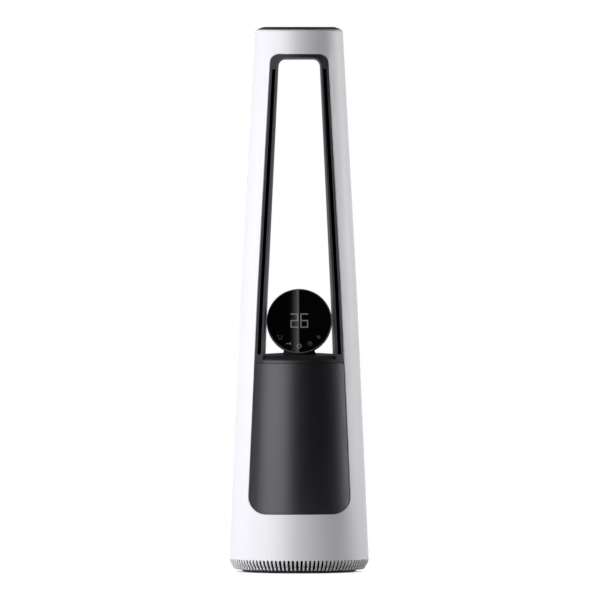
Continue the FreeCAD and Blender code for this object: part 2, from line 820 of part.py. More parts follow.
def casing(half):
    """One half of the conical casing: wall, rounded top edge and the ledge under the cap."""
    top_r = skin_r(CAP_SEAT)
    ledge_r = top_r - CAP_PLUG_INSET
    under = CAP_SEAT - TOP_ROUND
    bite = TOP_ROUND * (1 - math.sqrt(0.5))
    round_mid = Vector(top_r - bite, 0, CAP_SEAT - bite)
    edges = skin_line(0, RING_TOP, under)
    edges.append(arc(skin_point(under, 0), round_mid, Vector(top_r - TOP_ROUND, 0, CAP_SEAT)))
    edges.append(line(Vector(top_r - TOP_ROUND, 0, CAP_SEAT), Vector(ledge_r, 0, CAP_SEAT)))
    edges.append(line(Vector(ledge_r, 0, CAP_SEAT), Vector(ledge_r, 0, under)))
    edges.append(line(Vector(ledge_r, 0, under), skin_point(under, SHELL_T)))
    edges += skin_line(SHELL_T, under, RING_TOP)
    edges.append(line(skin_point(RING_TOP, SHELL_T), skin_point(RING_TOP, 0)))
    return spun(edges, half)


def round_cut_edges(shell, z_low, z_high):
    """Softens the edge where a cut-out meets the outer skin."""
    edges = []
    for edge in shell.Edges:
        middle = edge.valueAt((edge.FirstParameter + edge.LastParameter) / 2)
        off_skin = abs(math.hypot(middle.x, middle.y) - skin_r(middle.z))
        inside = z_low - SEAM < middle.z < z_high + SEAM
        if inside and off_skin < SEAM and abs(middle.y) > OVERRUN:
            edges.append(edge)
    return shell.makeFillet(CUT_EDGE_R, edges)


def front_shell():
    shell = casing("front").common(front_half(SEAM / 2))
    wire = front_outline(CUT_LOW, CUT_TOP, cut_half, CUT_LOW_R, CUT_TOP_R, -FAR_Y)
    shell = shell.cut(prism_y(wire, FAR_Y))
    return [round_cut_edges(shell, CUT_LOW, CUT_TOP)]


def case_screw_spots():
    """Each casing screw: its place across and up, and how far in its boss reaches."""
    spots = []
    for z in (FAN_DECK_Z - CASE_LUG_H / 2, FLOOR_Z - CASE_LUG_H / 2):
        reach = math.sqrt(skin_r(z) ** 2 - CASE_SCREW_X ** 2) - BOSS_DEPTH
        spots += [(x, reach, z) for x in (-CASE_SCREW_X, CASE_SCREW_X)]
    return spots


def rear_shell():
    shell = casing("back").common(back_half(SEAM / 2))
    loop = front_outline(LOOP_LOW, CUT_TOP, cut_half, CUT_BACK_R, CUT_TOP_R, 0)
    shell = round_cut_edges(shell.cut(prism_y(loop, FAR_Y)), LOOP_LOW, CUT_TOP)
    shell = shell.cut(prism_y(inlet_outline(SEAM, 0), FAR_Y))
    back = Vector(0, 1, 0)
    inside = skin_solid(SHELL_T / 2)
    for x, reach, z in case_screw_spots():
        boss = Part.makeCylinder(BOSS_R, BOSS_DEPTH, Vector(x, reach, z), back).common(inside)
        shell = shell.fuse(boss)
    for x, reach, z in case_screw_spots():
        hole = Part.makeCylinder(SCREW_R + SCREW_GAP, FAR_Y, Vector(x, reach - OVERRUN, z), back)
        well = Part.makeCylinder(SCREW_HEAD_R + SCREW_GAP, FAR_Y, Vector(x, reach + BOSS_SKIN, z), back)
        shell = shell.cut(hole).cut(well)
    return [shell]


def case_screws():
    places = [Vector(x, reach + BOSS_SKIN, z) for x, reach, z in case_screw_spots()]
    return [screw(place, Vector(0, -1, 0), SCREW_L) for place in places]


def top_cap():
    cap_r = skin_r(CAP_SEAT) - CAP_INSET
    flat_r = cap_r - CAP_BEVEL_W
    plug_r = skin_r(CAP_SEAT) - CAP_PLUG_INSET - SEAM
    plug_bore_r = plug_r - CAP_PLUG_T
    plug_z = CAP_SEAT - CAP_PLUG_H
    points = [(0, TOTAL_H), (flat_r, TOTAL_H), (cap_r, CAP_SEAT + CAP_EDGE_H), (cap_r, CAP_SEAT)]
    points += [(plug_r, CAP_SEAT), (plug_r, plug_z), (plug_bore_r, plug_z)]
    points += [(plug_bore_r, CAP_SEAT), (0, CAP_SEAT)]
    return [spun_points(points)]


# Filter bay and filter drawer

def lug_hole(x, reach, z):
    """Hole in a lug for the casing screw that comes in from the back."""
    return Part.makeCylinder(SCREW_R + SCREW_GAP, SCREW_L, Vector(x, reach - SCREW_L, z), Vector(0, 1, 0))


def bay_floor():
    floor = disc(FLOOR_R, FLOOR_Z, FLOOR_TOP)
    for x, reach, z in case_screw_spots()[2:]:
        half = CASE_LUG_W / 2
        lug = block(x - half, x + half, reach - CASE_LUG_D, reach, FLOOR_Z - CASE_LUG_H, FLOOR_TOP)
        tie = block(x - half, x + half, 0, reach, FLOOR_Z, FLOOR_TOP)
        floor = floor.fuse(lug).fuse(tie).cut(lug_hole(x, reach, z))
    return [floor.removeSplitter()]


def bay_posts():
    posts = []
    for degrees in BAY_POST_DEGREES:
        place = polar(BAY_POST_PCD_R, degrees)
        posts.append(disc(BAY_POST_R, FLOOR_TOP, FAN_DECK_Z, place.x, place.y))
    return posts


def catch_magnet():
    near = TRAY_BACK + STRIKE_T + RUN_GAP
    return [block(-STRIKE_W / 2, STRIKE_W / 2, near, near + MAGNET_D, FLOOR_TOP, FLOOR_TOP + MAGNET_RISE)]


def strike_plate():
    return [block(-STRIKE_W / 2, STRIKE_W / 2, TRAY_BACK, TRAY_BACK + STRIKE_T, TRAY_Z, TRAY_TOP)]


def front_cover():
    def half(z):
        return cut_half(z) - COVER_SEAM

    low = CUT_LOW + COVER_SEAM
    high = LOOP_LOW - COVER_SEAM
    wire = front_outline(low, high, half, CUT_LOW_R - COVER_SEAM, COVER_TOP_R, -FAR_Y)
    cover = skin_layer(0, COVER_T, "front").common(prism_y(wire, FAR_Y))
    edges = []
    for edge in cover.Edges:
        middle = edge.valueAt((edge.FirstParameter + edge.LastParameter) / 2)
        if abs(math.hypot(middle.x, middle.y) - skin_r(middle.z)) < SEAM:
            edges.append(edge)
    return [cover.makeFillet(COVER_EDGE_R, edges)]


def filter_tray():
    rim_r = FILTER_R + SEAM + TRAY_RIM_T
    strip = block(-TRAY_HALF, TRAY_HALF, -FAR_Y, TRAY_BACK, TRAY_Z, TRAY_TOP + TRAY_RIM_H)
    plate = disc(rim_r, TRAY_Z, TRAY_TOP).fuse(block(-TRAY_HALF, TRAY_HALF, -FAR_Y, 0, TRAY_Z, TRAY_TOP))
    rim = tube(rim_r, FILTER_R + SEAM, TRAY_Z, TRAY_TOP + TRAY_RIM_H)
    tray = plate.fuse(rim).common(strip).common(skin_solid(COVER_T))
    return [tray.removeSplitter()]


def filter_bottom_cap():
    return [disc(FILTER_R, TRAY_TOP, TRAY_TOP + FILTER_CAP_T)]


def filter_top_cap():
    return [tube(FILTER_R, FILTER_BORE_R, SEAL_Z - FILTER_CAP_T, SEAL_Z)]


def filter_core():
    return [tube(FILTER_BORE_R + CORE_T, FILTER_BORE_R, TRAY_TOP + FILTER_CAP_T, SEAL_Z - FILTER_CAP_T)]


def filter_media():
    """Pleated sheet round the core, one zigzag of even thickness."""
    low = TRAY_TOP + FILTER_CAP_T
    ridge_r = FILTER_R - FILTER_RIM
    faces = []
    for shrink in (0, PLEAT_T):
        corners = []
        for index in range(2 * PLEAT_COUNT):
            radius = ridge_r - shrink - (index % 2) * PLEAT_DEPTH
            corners.append(polar(radius, 180.0 * index / PLEAT_COUNT, low))
        faces.append(Part.Face(Part.makePolygon(corners + corners[:1])))
    sheet = faces[0].cut(faces[1])
    return [sheet.extrude(Vector(0, 0, SEAL_Z - FILTER_CAP_T - low)).Solids[0]]


def filter_seal():
    inner = (FILTER_R + FILTER_BORE_R - SEAL_W) / 2
    return [tube(inner + SEAL_W, inner, SEAL_Z, SEAL_Z + SEAL_T)]


# Fan

def fan_screw_places(z):
    radius = FAN_OUT_R + FAN_FLANGE / 2
    return [polar(radius, 45.0 + 360.0 * index / FAN_SCREWS, z) for index in range(FAN_SCREWS)]


def fan_deck():
    deck = disc(skin_r(FAN_DECK_TOP) - SHELL_T - SEAM, FAN_DECK_Z, FAN_DECK_TOP)
    mouth = Part.makeCone(INLET_MOUTH_R + MOUTH_EDGE, INLET_MOUTH_R, MOUTH_EDGE, Vector(0, 0, FAN_DECK_Z))
    deck = deck.cut(mouth).cut(disc(INLET_MOUTH_R, FAN_DECK_Z, FAN_DECK_TOP + OVERRUN))
    for x, reach, z in case_screw_spots()[:2]:
        half = CASE_LUG_W / 2
        lug = block(x - half, x + half, reach - CASE_LUG_D, reach, FAN_DECK_Z - CASE_LUG_H, FAN_DECK_TOP)
        deck = deck.fuse(lug).cut(lug_hole(x, reach, z))
    for place in fan_screw_places(FAN_DECK_TOP):
        deck = deck.cut(disc(SCREW_R + SCREW_GAP, FAN_DECK_Z, FAN_DECK_TOP, place.x, place.y))
    return [deck.removeSplitter()]


def pitched_plates(count, thickness, pitch, inner, outer, z_low, z_high):
    """Flat plates that stand out from the axis, each turned about its own length."""
    middle = (z_low + z_high) / 2
    tall = 2 * (z_high - z_low)
    plate = block(inner, outer, -thickness / 2, thickness / 2, middle - tall / 2, middle + tall / 2)
    plate.rotate(Vector(0, 0, middle), Vector(1, 0, 0), pitch)
    return ring_copies(plate, count)


def fan_housing():
    wall = tube(FAN_OUT_R, FAN_BORE_R, FAN_DECK_TOP, STATOR_TOP)
    flange = tube(FAN_OUT_R + FAN_FLANGE, FAN_BORE_R, FAN_DECK_TOP, FAN_DECK_TOP + FAN_FLANGE_T)
    for place in fan_screw_places(FAN_DECK_TOP):
        flange = flange.cut(disc(SCREW_R + SCREW_GAP, 0, TOTAL_H, place.x, place.y))
    cup = tube(CUP_R, CUP_BORE_R, STATOR_Z, MOTOR_TOP).fuse(tube(CUP_R, BEARING_R, STATOR_Z, MOTOR_Z))
    body = wall.fuse(flange).fuse(cup)
    vane_room = tube(FAN_BORE_R + FAN_WALL / 2, CUP_R - CUP_WALL / 2, STATOR_Z, STATOR_TOP)
    outer = FAN_OUT_R + OVERRUN
    for plate in pitched_plates(VANE_COUNT, VANE_T, VANE_PITCH, CUP_BORE_R, outer, STATOR_Z, STATOR_TOP):
        body = body.fuse(plate.common(vane_room))
    return [body.removeSplitter()]


def fan_screws():
    places = fan_screw_places(FAN_DECK_TOP + FAN_FLANGE_T)
    return [screw(place, Vector(0, 0, -1), FAN_FLANGE_T + FAN_DECK_T) for place in places]


def impeller():
    """Mixed flow wheel: a conical hub and pitched blades that widen towards the outlet."""
    lip_z = IMPELLER_TOP - IMPELLER_LIP_H
    hub_low = IMPELLER_Z + HUB_SKIRT_T
    hub_points = [(0, IMPELLER_Z), (HUB_R_LOW, IMPELLER_Z), (HUB_R_LOW, hub_low), (HUB_R_HIGH, IMPELLER_TOP)]
    hub_points += [(HUB_R_HIGH - HUB_SKIRT_T, IMPELLER_TOP), (HUB_R_LOW - HUB_SKIRT_T, lip_z), (0, lip_z)]
    root_low = HUB_R_LOW - HUB_SKIRT_T / 2
    root_high = HUB_R_HIGH - HUB_SKIRT_T / 2
    room_points = [(root_low, IMPELLER_Z), (INLET_MOUTH_R, IMPELLER_Z), (FAN_R, lip_z)]
    room_points += [(FAN_R, IMPELLER_TOP), (root_high, IMPELLER_TOP), (root_low, hub_low)]
    room = spun_points(room_points)
    wheel = spun_points(hub_points)
    for plate in pitched_plates(BLADE_COUNT, BLADE_T, BLADE_PITCH, 0, FAN_R, IMPELLER_Z, IMPELLER_TOP):
        wheel = wheel.fuse(plate.common(room))
    wheel = wheel.cut(disc(MOTOR_SHAFT_R, IMPELLER_Z - OVERRUN, IMPELLER_TOP + OVERRUN))
    return [wheel.removeSplitter()]


def impeller_nut():
    corner_r = NUT_AF / math.sqrt(3)
    corners = [polar(corner_r, 60.0 * index, IMPELLER_Z - NUT_H) for index in range(6)]
    nut = Part.Face(Part.makePolygon(corners + corners[:1])).extrude(Vector(0, 0, NUT_H))
    return [nut.cut(disc(MOTOR_SHAFT_R, IMPELLER_Z - NUT_H - OVERRUN, IMPELLER_Z + OVERRUN))]


def motor_shaft():
    return [disc(MOTOR_SHAFT_R, IMPELLER_Z - NUT_H - SHAFT_TAIL, MOTOR_TOP + SHAFT_TAIL)]


def core_z():
    middle = (MOTOR_Z + MOTOR_TOP) / 2
    return middle - CORE_H / 2, middle + CORE_H / 2


def core_bore_r():
    return MOTOR_R - MOTOR_WALL - CORE_YOKE - CORE_TOOTH_L


def rotor_magnet():
    low, high = core_z()
    return [tube(core_bore_r() - AIR_GAP, MOTOR_SHAFT_R, low, high)]


def motor_case():
    wall = tube(MOTOR_R, MOTOR_R - MOTOR_WALL, MOTOR_Z, MOTOR_TOP)
    return [wall.fuse(tube(MOTOR_R, BEARING_R, MOTOR_Z, MOTOR_Z + BEARING_T)).removeSplitter()]


def motor_cap():
    return [tube(MOTOR_R - MOTOR_WALL, BEARING_R, MOTOR_TOP - BEARING_T, MOTOR_TOP)]


def motor_bearings():
    bore = MOTOR_SHAFT_R + SHAFT_GAP
    lower = tube(BEARING_R, bore, MOTOR_Z, MOTOR_Z + BEARING_T)
    return [lower, tube(BEARING_R, bore, MOTOR_TOP - BEARING_T, MOTOR_TOP)]


def motor_stator():
    low, high = core_z()
    outer = MOTOR_R - MOTOR_WALL
    core = tube(outer, outer - CORE_YOKE, low, high)
    half = CORE_TOOTH_W / 2
    tooth = block(core_bore_r() - OVERRUN, outer - CORE_YOKE / 2, -half, half, low, high)
    for copy in ring_copies(tooth, CORE_TEETH):
        core = core.fuse(copy)
    return [core.cut(disc(core_bore_r(), low - OVERRUN, high + OVERRUN)).removeSplitter()]


def motor_sleeve():
    return [tube(CUP_BORE_R, MOTOR_R, MOTOR_Z, MOTOR_TOP)]


def chamber_wall():
    half = cut_half(FAN_DECK_TOP) + CHAMBER_LAP
    room = block(-half, half, -FAR_Y, 0, FAN_DECK_TOP, LOOP_LOW - COVER_SEAM)
    return [skin_layer(CHAMBER_INSET, CHAMBER_INSET + CHAMBER_WALL, "front").common(room)]


# Loop

def outlet_wire(side, outset, inset, z_low, z_high, y):
    """Outline of one upright outlet, beside the cut-out's edge on the given side."""
    heights = side_heights(z_low, z_high)
    outer = [Vector(side * (cut_half(z) - outset), y, z) for z in heights]
    inner = [Vector(side * (cut_half(z) - inset), y, z) for z in heights[::-1]]
    return Part.makePolygon(outer + inner + outer[:1])


def outlet_prism(side, outset, inset, z_low, z_high):
    return prism_y(outlet_wire(side, outset, inset, z_low, z_high, -FAR_Y), FAR_Y)


def liner_lip(half, y, radius_low):
    """Curved border between the casing's cut-out and the tunnel, just below the skin."""
    def half_width(z):
        return cut_half(z) - SEAM

    wire = front_outline(LOOP_LOW + SEAM, CUT_TOP - SEAM, half_width, radius_low, CUT_TOP_R - SEAM, y)
    return skin_layer(LIP_RECESS, LIP_RECESS + LINER_T, half).common(prism_y(wire, FAR_Y))


def loop_liner():
    wall = tunnel(LINER_T).common(skin_solid(LIP_RECESS)).common(slab(LOOP_LOW + SEAM, CUT_TOP))
    front_lip = liner_lip("front", -FAR_Y, CUT_EDGE_R)
    back_lip = liner_lip("back", 0, CUT_BACK_R - SEAM)
    liner = wall.fuse(front_lip).fuse(back_lip).cut(tunnel(0))
    lip_depth = LIP_RECESS + LINER_T + LINER_T / 2
    border = skin_layer(-OVERRUN, lip_depth, "front")
    for side in (-1, 1):
        slot = outlet_prism(side, OUTLET_INSET, OUTLET_INSET + OUTLET_W, OUTLET_LOW, OUTLET_TOP)
        liner = liner.cut(slot.common(border))
    return [liner.removeSplitter()]


def nozzle(side):
    """Strip behind one outlet slot, with ribs that bridge it and turn the air forward."""
    back = LIP_RECESS + LINER_T + SEAM
    strip = outlet_prism(side, OUTLET_INSET - NOZZLE_T, OUTLET_INSET, OUTLET_LOW, OUTLET_TOP)
    strip = strip.common(skin_layer(back, back + NOZZLE_DEPTH, "front"))
    pitch = (OUTLET_TOP - OUTLET_LOW) / (RIB_COUNT + 1)
    layer = skin_layer(back + RIB_SETBACK, back + NOZZLE_DEPTH, "front")
    for index in range(1, RIB_COUNT + 1):
        z = OUTLET_LOW + pitch * index
        rib = outlet_prism(side, OUTLET_INSET - NOZZLE_T / 2, OUTLET_INSET + OUTLET_W / 2, z, z + RIB_T)
        strip = strip.fuse(rib.common(layer))
    return [strip.removeSplitter()]


def nozzle_left():
    return nozzle(-1)


def nozzle_right():
    return nozzle(1)


# Display

def shelf_boss(inset):
    """Round boss whose top is flat in the middle, falls a little and rolls over a shoulder into its side."""
    low = Vector(0, 0, LOOP_LOW - OVERRUN)
    side_low = Vector(SHELF_R - inset, 0, low.z)
    side_top = Vector(SHELF_R - inset, 0, LOOP_LOW + SHELF_EDGE)
    deck_edge = Vector(SHOULDER_IN_R, 0, CROWN - SHELF_DROP - inset)
    crown = Vector(0, 0, CROWN - inset)
    diagonal = math.sqrt(0.5)
    shoulder = Vector(deck_edge.x + (side_top.x - deck_edge.x) * diagonal, 0,
                      side_top.z + (deck_edge.z - side_top.z) * diagonal)
    flat_edge = Vector(SHELF_FLAT_R, 0, crown.z)
    return spun([line(low, side_low), line(side_low, side_top), arc(side_top, shoulder, deck_edge),
                 line(deck_edge, flat_edge), line(flat_edge, crown), line(crown, low)])


def display_shelf():
    outer = tunnel(-SEAM).common(skin_solid(LIP_RECESS)).common(shelf_boss(0))
    inner = tunnel(-SEAM - SHELF_WALL).common(skin_solid(LIP_RECESS + SHELF_WALL))
    inner = inner.common(shelf_boss(SHELF_WALL))
    return [outer.cut(inner).common(slab(LOOP_LOW, TOTAL_H))]


def display_placement():
    """Local +Z comes out of the glass, and local +Y runs up it."""
    return FreeCAD.Placement(Vector(0, DISPLAY_Y, DISPLAY_Z), Rotation(Vector(1, 0, 0), 90 - DISPLAY_TILT))


def tilted(shape):
    shape.Placement = display_placement().multiply(shape.Placement)
    return shape


def housing_outer():
    body = disc(DISPLAY_R, -DISPLAY_T, -BEZEL_H)
    rear = [edge for edge in body.Edges if edge.BoundBox.ZMax < SEAM - DISPLAY_T]
    return body.makeFillet(DISPLAY_BACK_R, rear)


def display_housing():
    hollow = disc(DISPLAY_R - DISPLAY_WALL, DISPLAY_WALL - DISPLAY_T, 0)
    inner = [edge for edge in hollow.Edges if edge.BoundBox.ZMax < DISPLAY_WALL + SEAM - DISPLAY_T]
    hollow = hollow.makeFillet(DISPLAY_BACK_R - DISPLAY_WALL, inner)
    return [tilted(housing_outer().cut(hollow))]


def display_bezel():
    inner = DISPLAY_R - BEZEL_W
    seat = inner - BEZEL_W
    glass_back = -GLASS_SINK - GLASS_T
    points = [(seat, -BEZEL_H), (DISPLAY_R, -BEZEL_H), (DISPLAY_R, -BEZEL_EDGE)]
    points += [(DISPLAY_R - BEZEL_EDGE, 0), (inner, 0), (inner, glass_back), (seat, glass_back)]
    return [tilted(spun_points(points))]


def display_glass():
    return [tilted(disc(DISPLAY_R - BEZEL_W - SCREW_GAP, -GLASS_SINK - GLASS_T, -GLASS_SINK))]


def display_board():
    radius = DISPLAY_R - DISPLAY_WALL - DISPLAY_BOARD_INSET
    top = -BEZEL_H
    return [tilted(disc(radius, top - BOARD_T, top))]


def display_stand():
    """Short neck that carries the display, from the shelf up to the housing's back."""
    low = LOOP_LOW
    high = low + STAND_H
    wires = []
    for z, width, depth in ((low, STAND_W, STAND_D), (high, STAND_TOP_W, STAND_TOP_D)):
        corners = [Vector(-width / 2, STAND_Y - depth / 2, z), Vector(width / 2, STAND_Y - depth / 2, z)]
        corners += [Vector(width / 2, STAND_Y + depth / 2, z), Vector(-width / 2, STAND_Y + depth / 2, z)]
        wires.append(rounded_wire(corners, (STAND_R,) * 4))
    neck = Part.makeLoft(wires, True, True)
    pod = tilted(housing_outer().fuse(disc(DISPLAY_R, -BEZEL_H, FAR_Y)))
    parts = neck.cut(shelf_boss(0)).cut(pod).Solids
    return [max(parts, key=lambda solid: solid.Volume)]


NODES = (
    rubber_feet, base_plate, base_screws, glide_ring, pivot_post, sun_gear, pivot_collar, collar_screws,
    turntable_plate, pivot_bush, oscillation_motor, motor_screws, drive_shaft, drive_pinion,
    electronics_drum, control_board, board_components, dust_sensor, power_inlet, inlet_pins, inlet_lead,
    intake_ring, front_shell, rear_shell, case_screws, top_cap,
    bay_floor, bay_posts, catch_magnet, strike_plate, front_cover, filter_tray, filter_bottom_cap,
    filter_top_cap, filter_core, filter_media, filter_seal,
    fan_deck, fan_housing, fan_screws, impeller, impeller_nut, motor_shaft, rotor_magnet,
    motor_case, motor_cap, motor_bearings, motor_stator, motor_sleeve, chamber_wall,
    loop_liner, nozzle_left, nozzle_right,
    display_shelf, display_stand, display_housing, display_bezel, display_glass, display_board,
)


def main():
    os.makedirs("parts", exist_ok=True)
    for node in NODES:
        solids = [solid for shape in node() for solid in shape.Solids]
        shape = solids[0] if len(solids) == 1 else Part.makeCompound(solids)
        sound = all(solid.isValid() and solid.isClosed() for solid in solids)
        volume = sum(solid.Volume for solid in solids)
        print(f"{node.__name__}: {len(solids)} solids, {volume:.0f} mm3, valid {sound}")
        shape.exportStep(f"parts/{node.__name__}.step")


main()
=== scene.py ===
import math

import bpy
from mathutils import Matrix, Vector


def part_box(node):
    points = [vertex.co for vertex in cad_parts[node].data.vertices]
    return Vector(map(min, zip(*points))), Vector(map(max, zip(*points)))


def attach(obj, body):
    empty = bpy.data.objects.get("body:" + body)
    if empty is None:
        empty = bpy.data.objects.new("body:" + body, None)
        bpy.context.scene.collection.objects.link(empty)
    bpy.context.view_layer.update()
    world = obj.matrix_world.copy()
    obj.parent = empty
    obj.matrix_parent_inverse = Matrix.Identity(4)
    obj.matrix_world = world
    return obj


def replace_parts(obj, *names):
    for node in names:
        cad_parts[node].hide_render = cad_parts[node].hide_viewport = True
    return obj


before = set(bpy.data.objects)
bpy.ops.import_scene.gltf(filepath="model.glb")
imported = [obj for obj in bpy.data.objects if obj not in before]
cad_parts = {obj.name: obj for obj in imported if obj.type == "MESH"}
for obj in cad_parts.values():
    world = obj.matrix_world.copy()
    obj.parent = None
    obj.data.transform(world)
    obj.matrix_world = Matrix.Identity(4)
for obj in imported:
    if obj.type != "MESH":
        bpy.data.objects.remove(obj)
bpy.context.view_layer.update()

MM = 0.001


# Node trees

class Socket:
    """An output in a finish's node tree. Sums, products and the like on it add Math nodes."""

    def __init__(self, finish, output):
        self.finish = finish
        self.output = output

    def math(self, operation, first, second):
        return self.finish.node("ShaderNodeMath", {"operation": operation}, {0: first, 1: second})

    def __add__(self, other):
        return self.math("ADD", self, other)

    def __radd__(self, other):
        return self.math("ADD", other, self)

    def __sub__(self, other):
        return self.math("SUBTRACT", self, other)

    def __rsub__(self, other):
        return self.math("SUBTRACT", other, self)

    def __mul__(self, other):
        return self.math("MULTIPLY", self, other)

    def __rmul__(self, other):
        return self.math("MULTIPLY", other, self)

    def __truediv__(self, other):
        return self.math("DIVIDE", self, other)

    def __rtruediv__(self, other):
        return self.math("DIVIDE", other, self)

    def larger(self, other):
        return self.math("MAXIMUM", self, other)

    def swing(self, reach):
        """Turns a noise between zero and one into a swing about zero."""
        return (self - 0.5) * reach


MIX_FIRST = 6
MIX_SECOND = 7
MIX_RESULT = 2


class Finish:
    """A node tree that is filled node by node, for a material or for the world."""

    def __init__(self, owner):
        owner.use_nodes = True
        self.owner = owner
        self.tree = owner.node_tree
        self.tree.nodes.clear()

    def node(self, kind, settings=None, inputs=None, output=0):
        """Adds one node: its settings first, then the values or links of its sockets."""
        node = self.tree.nodes.new(kind)
        for key, value in (settings or {}).items():
            setattr(node, key, value)
        for key, value in (inputs or {}).items():
            if isinstance(value, Socket):
                self.tree.links.new(value.output, node.inputs[key])
            else:
                node.inputs[key].default_value = value
        return Socket(self, node.outputs[output]) if node.outputs else node

    def place(self):
        return self.node("ShaderNodeTexCoord", output="Object")

    def along(self, axis, place):
        """How far a place lies along X, Y or Z."""
        return self.node("ShaderNodeSeparateXYZ", None, {"Vector": place}, output=axis)

    def noise(self, scale, detail=2.0, roughness=0.5, place=None):
        inputs = {"Vector": place or self.place(), "Scale": scale, "Detail": detail, "Roughness": roughness}
        return self.node("ShaderNodeTexNoise", None, inputs)

    def ramp(self, value, start, end, rise="SMOOTHSTEP"):
        """Zero up to the start, one from the end on, and a rise between."""
        settings = {"interpolation_type": rise, "clamp": True}
        inputs = {"Value": value, "From Min": start, "From Max": end, "To Min": 0.0, "To Max": 1.0}
        return self.node("ShaderNodeMapRange", settings, inputs)

    def tint(self, share, first, second):
        """A colour between two, each of which is three levels or another node's colour."""
        inputs = {"Factor": share}
        for key, colour in ((MIX_FIRST, first), (MIX_SECOND, second)):
            inputs[key] = colour if isinstance(colour, Socket) else opaque(colour)
        return self.node("ShaderNodeMix", {"data_type": "RGBA"}, inputs, output=MIX_RESULT)

    def bump(self, height, strength, distance):
        inputs = {"Height": height, "Strength": strength, "Distance": distance}
        return self.node("ShaderNodeBump", None, inputs)

    def ray(self, kind):
        """One for rays of this kind, and zero for all others."""
        return self.node("ShaderNodeLightPath", output=f"Is {kind} Ray")

    def shell(self, **sockets):
        """The surface shader, joined to the material's output."""
        inputs = {key.replace("_", " "): value for key, value in sockets.items()}
        shader = self.node("ShaderNodeBsdfPrincipled", None, inputs)
        self.node("ShaderNodeOutputMaterial", None, {"Surface": shader})
        return self.owner


def new_finish(name):
    return Finish(bpy.data.materials.new(name))


def grey(level):
    return (level, level, level)


def opaque(colour):
    return (*colour, 1.0)


def shaded(colour, share):
    return tuple(min(1.0, level * share) for level in colour)


# Finishes

BLACK = grey(0.0)
PURE_WHITE = grey(1.0)
CLOUD_SCALE = 14.0
CLOUD_DETAIL = 3.0
CLOUD_SHEEN = 0.10
GRAIN_SHEEN = 0.06
GRAIN_ROUGHNESS = 0.6
GRAIN_DEPTH = 0.05 * MM
GLASS_ROUGHNESS = 0.015
GLASS_SPECULAR = 0.15


def moulded(name, colour, roughness, grain_mm, grain, cloud=0.03, specular=0.5, sheen_tint=PURE_WHITE):
    """Moulded plastic: an even grain from the tool, faint clouds in its colour and its sheen."""
    finish = new_finish(name)
    clouds = finish.noise(CLOUD_SCALE, CLOUD_DETAIL)
    grains = finish.noise(1.0 / (grain_mm * MM), roughness=GRAIN_ROUGHNESS)
    return finish.shell(
        Base_Color=finish.tint(clouds, shaded(colour, 1.0 - cloud), shaded(colour, 1.0 + cloud)),
        Roughness=roughness + clouds.swing(CLOUD_SHEEN) + grains.swing(GRAIN_SHEEN),
        Specular_IOR_Level=specular, Specular_Tint=opaque(sheen_tint),
        Normal=finish.bump(grains, grain, GRAIN_DEPTH))


def slat_finish(name, colour, roughness, painted_shade_r):
    """White plastic slats, with painted shade in near black on the inner rim within a radius round the axis.
    """
    finish = new_finish(name)
    clouds = finish.noise(CLOUD_SCALE, CLOUD_DETAIL)
    grains = finish.noise(scale=1400.0, roughness=GRAIN_ROUGHNESS)
    place = finish.place()
    across = finish.along("X", place)
    ahead = finish.along("Y", place)
    outside = finish.ramp(across * across + ahead * ahead, painted_shade_r ** 2, (painted_shade_r + MM) ** 2, rise="LINEAR")
    white = finish.tint(clouds, shaded(colour, 0.96), colour)
    return finish.shell(
        # Painted shade: the slats' inner rim is coloured near black so the slots read dark.
        Base_Color=finish.tint(outside, grey(0.006), white),
        Roughness=roughness + clouds.swing(CLOUD_SHEEN),
        Normal=finish.bump(grains, strength=0.12, distance=GRAIN_DEPTH))


def shelf_finish(name, satin_top, matt_low):
    """Satin on the shelf's rounded shoulder, and matt where its deck lies flat, with painted shade darkening
    the deck's colour.
    """
    finish = new_finish(name)
    deck = finish.ramp(finish.along("Z", finish.place()), satin_top, matt_low)
    grains = finish.noise(scale=2000.0, roughness=GRAIN_ROUGHNESS)
    return finish.shell(
        # Painted shade: the deck's colour goes blacker where it lies flat; the rise in roughness there is the
        # real matt finish.
        Base_Color=finish.tint(deck, (0.0090, 0.0088, 0.0108), grey(0.003)),
        Roughness=0.40 + 0.45 * deck + grains.swing(0.08),
        Specular_Tint=opaque((0.92, 0.91, 1.0)),
        Normal=finish.bump(grains, strength=0.12, distance=GRAIN_DEPTH))


def gloss_black(name, level, roughness, peel_depth=0.05, specular=0.5):
    """Polished black: a deep colour, with a trace of orange peel."""
    finish = new_finish(name)
    smears = finish.noise(scale=9.0)
    peel = finish.noise(scale=120.0, detail=1.0)
    return finish.shell(
        Base_Color=finish.tint(smears, grey(level * 0.85), grey(level * 1.15)),
        Roughness=roughness * (0.7 + 0.6 * smears), Specular_IOR_Level=specular,
        Normal=finish.bump(peel, peel_depth, distance=0.02 * MM))


def brushed(name, colour, roughness):
    """Plain metal with fine lines from rolling or turning."""
    finish = new_finish(name)
    inputs = {"Vector": finish.place(), "Scale": (1.0, 1.0, 18.0)}
    stretched = finish.node("ShaderNodeMapping", None, inputs)
    lines = finish.noise(scale=420.0, detail=3.0, roughness=0.6, place=stretched)
    return finish.shell(
        Base_Color=finish.tint(lines, shaded(colour, 0.88), colour), Metallic=1.0,
        Roughness=roughness + lines.swing(0.18),
        Normal=finish.bump(lines, strength=0.12, distance=0.03 * MM))


def soft_rubber(name, level):
    """Dull rubber with a fine grain and a little dust."""
    finish = new_finish(name)
    dust = finish.noise(scale=60.0, detail=4.0)
    grains = finish.noise(scale=1600.0)
    return finish.shell(
        Base_Color=finish.tint(dust, grey(level), grey(level * 1.8)), Roughness=0.78 + dust.swing(0.12),
        Normal=finish.bump(grains, strength=0.25, distance=0.06 * MM))


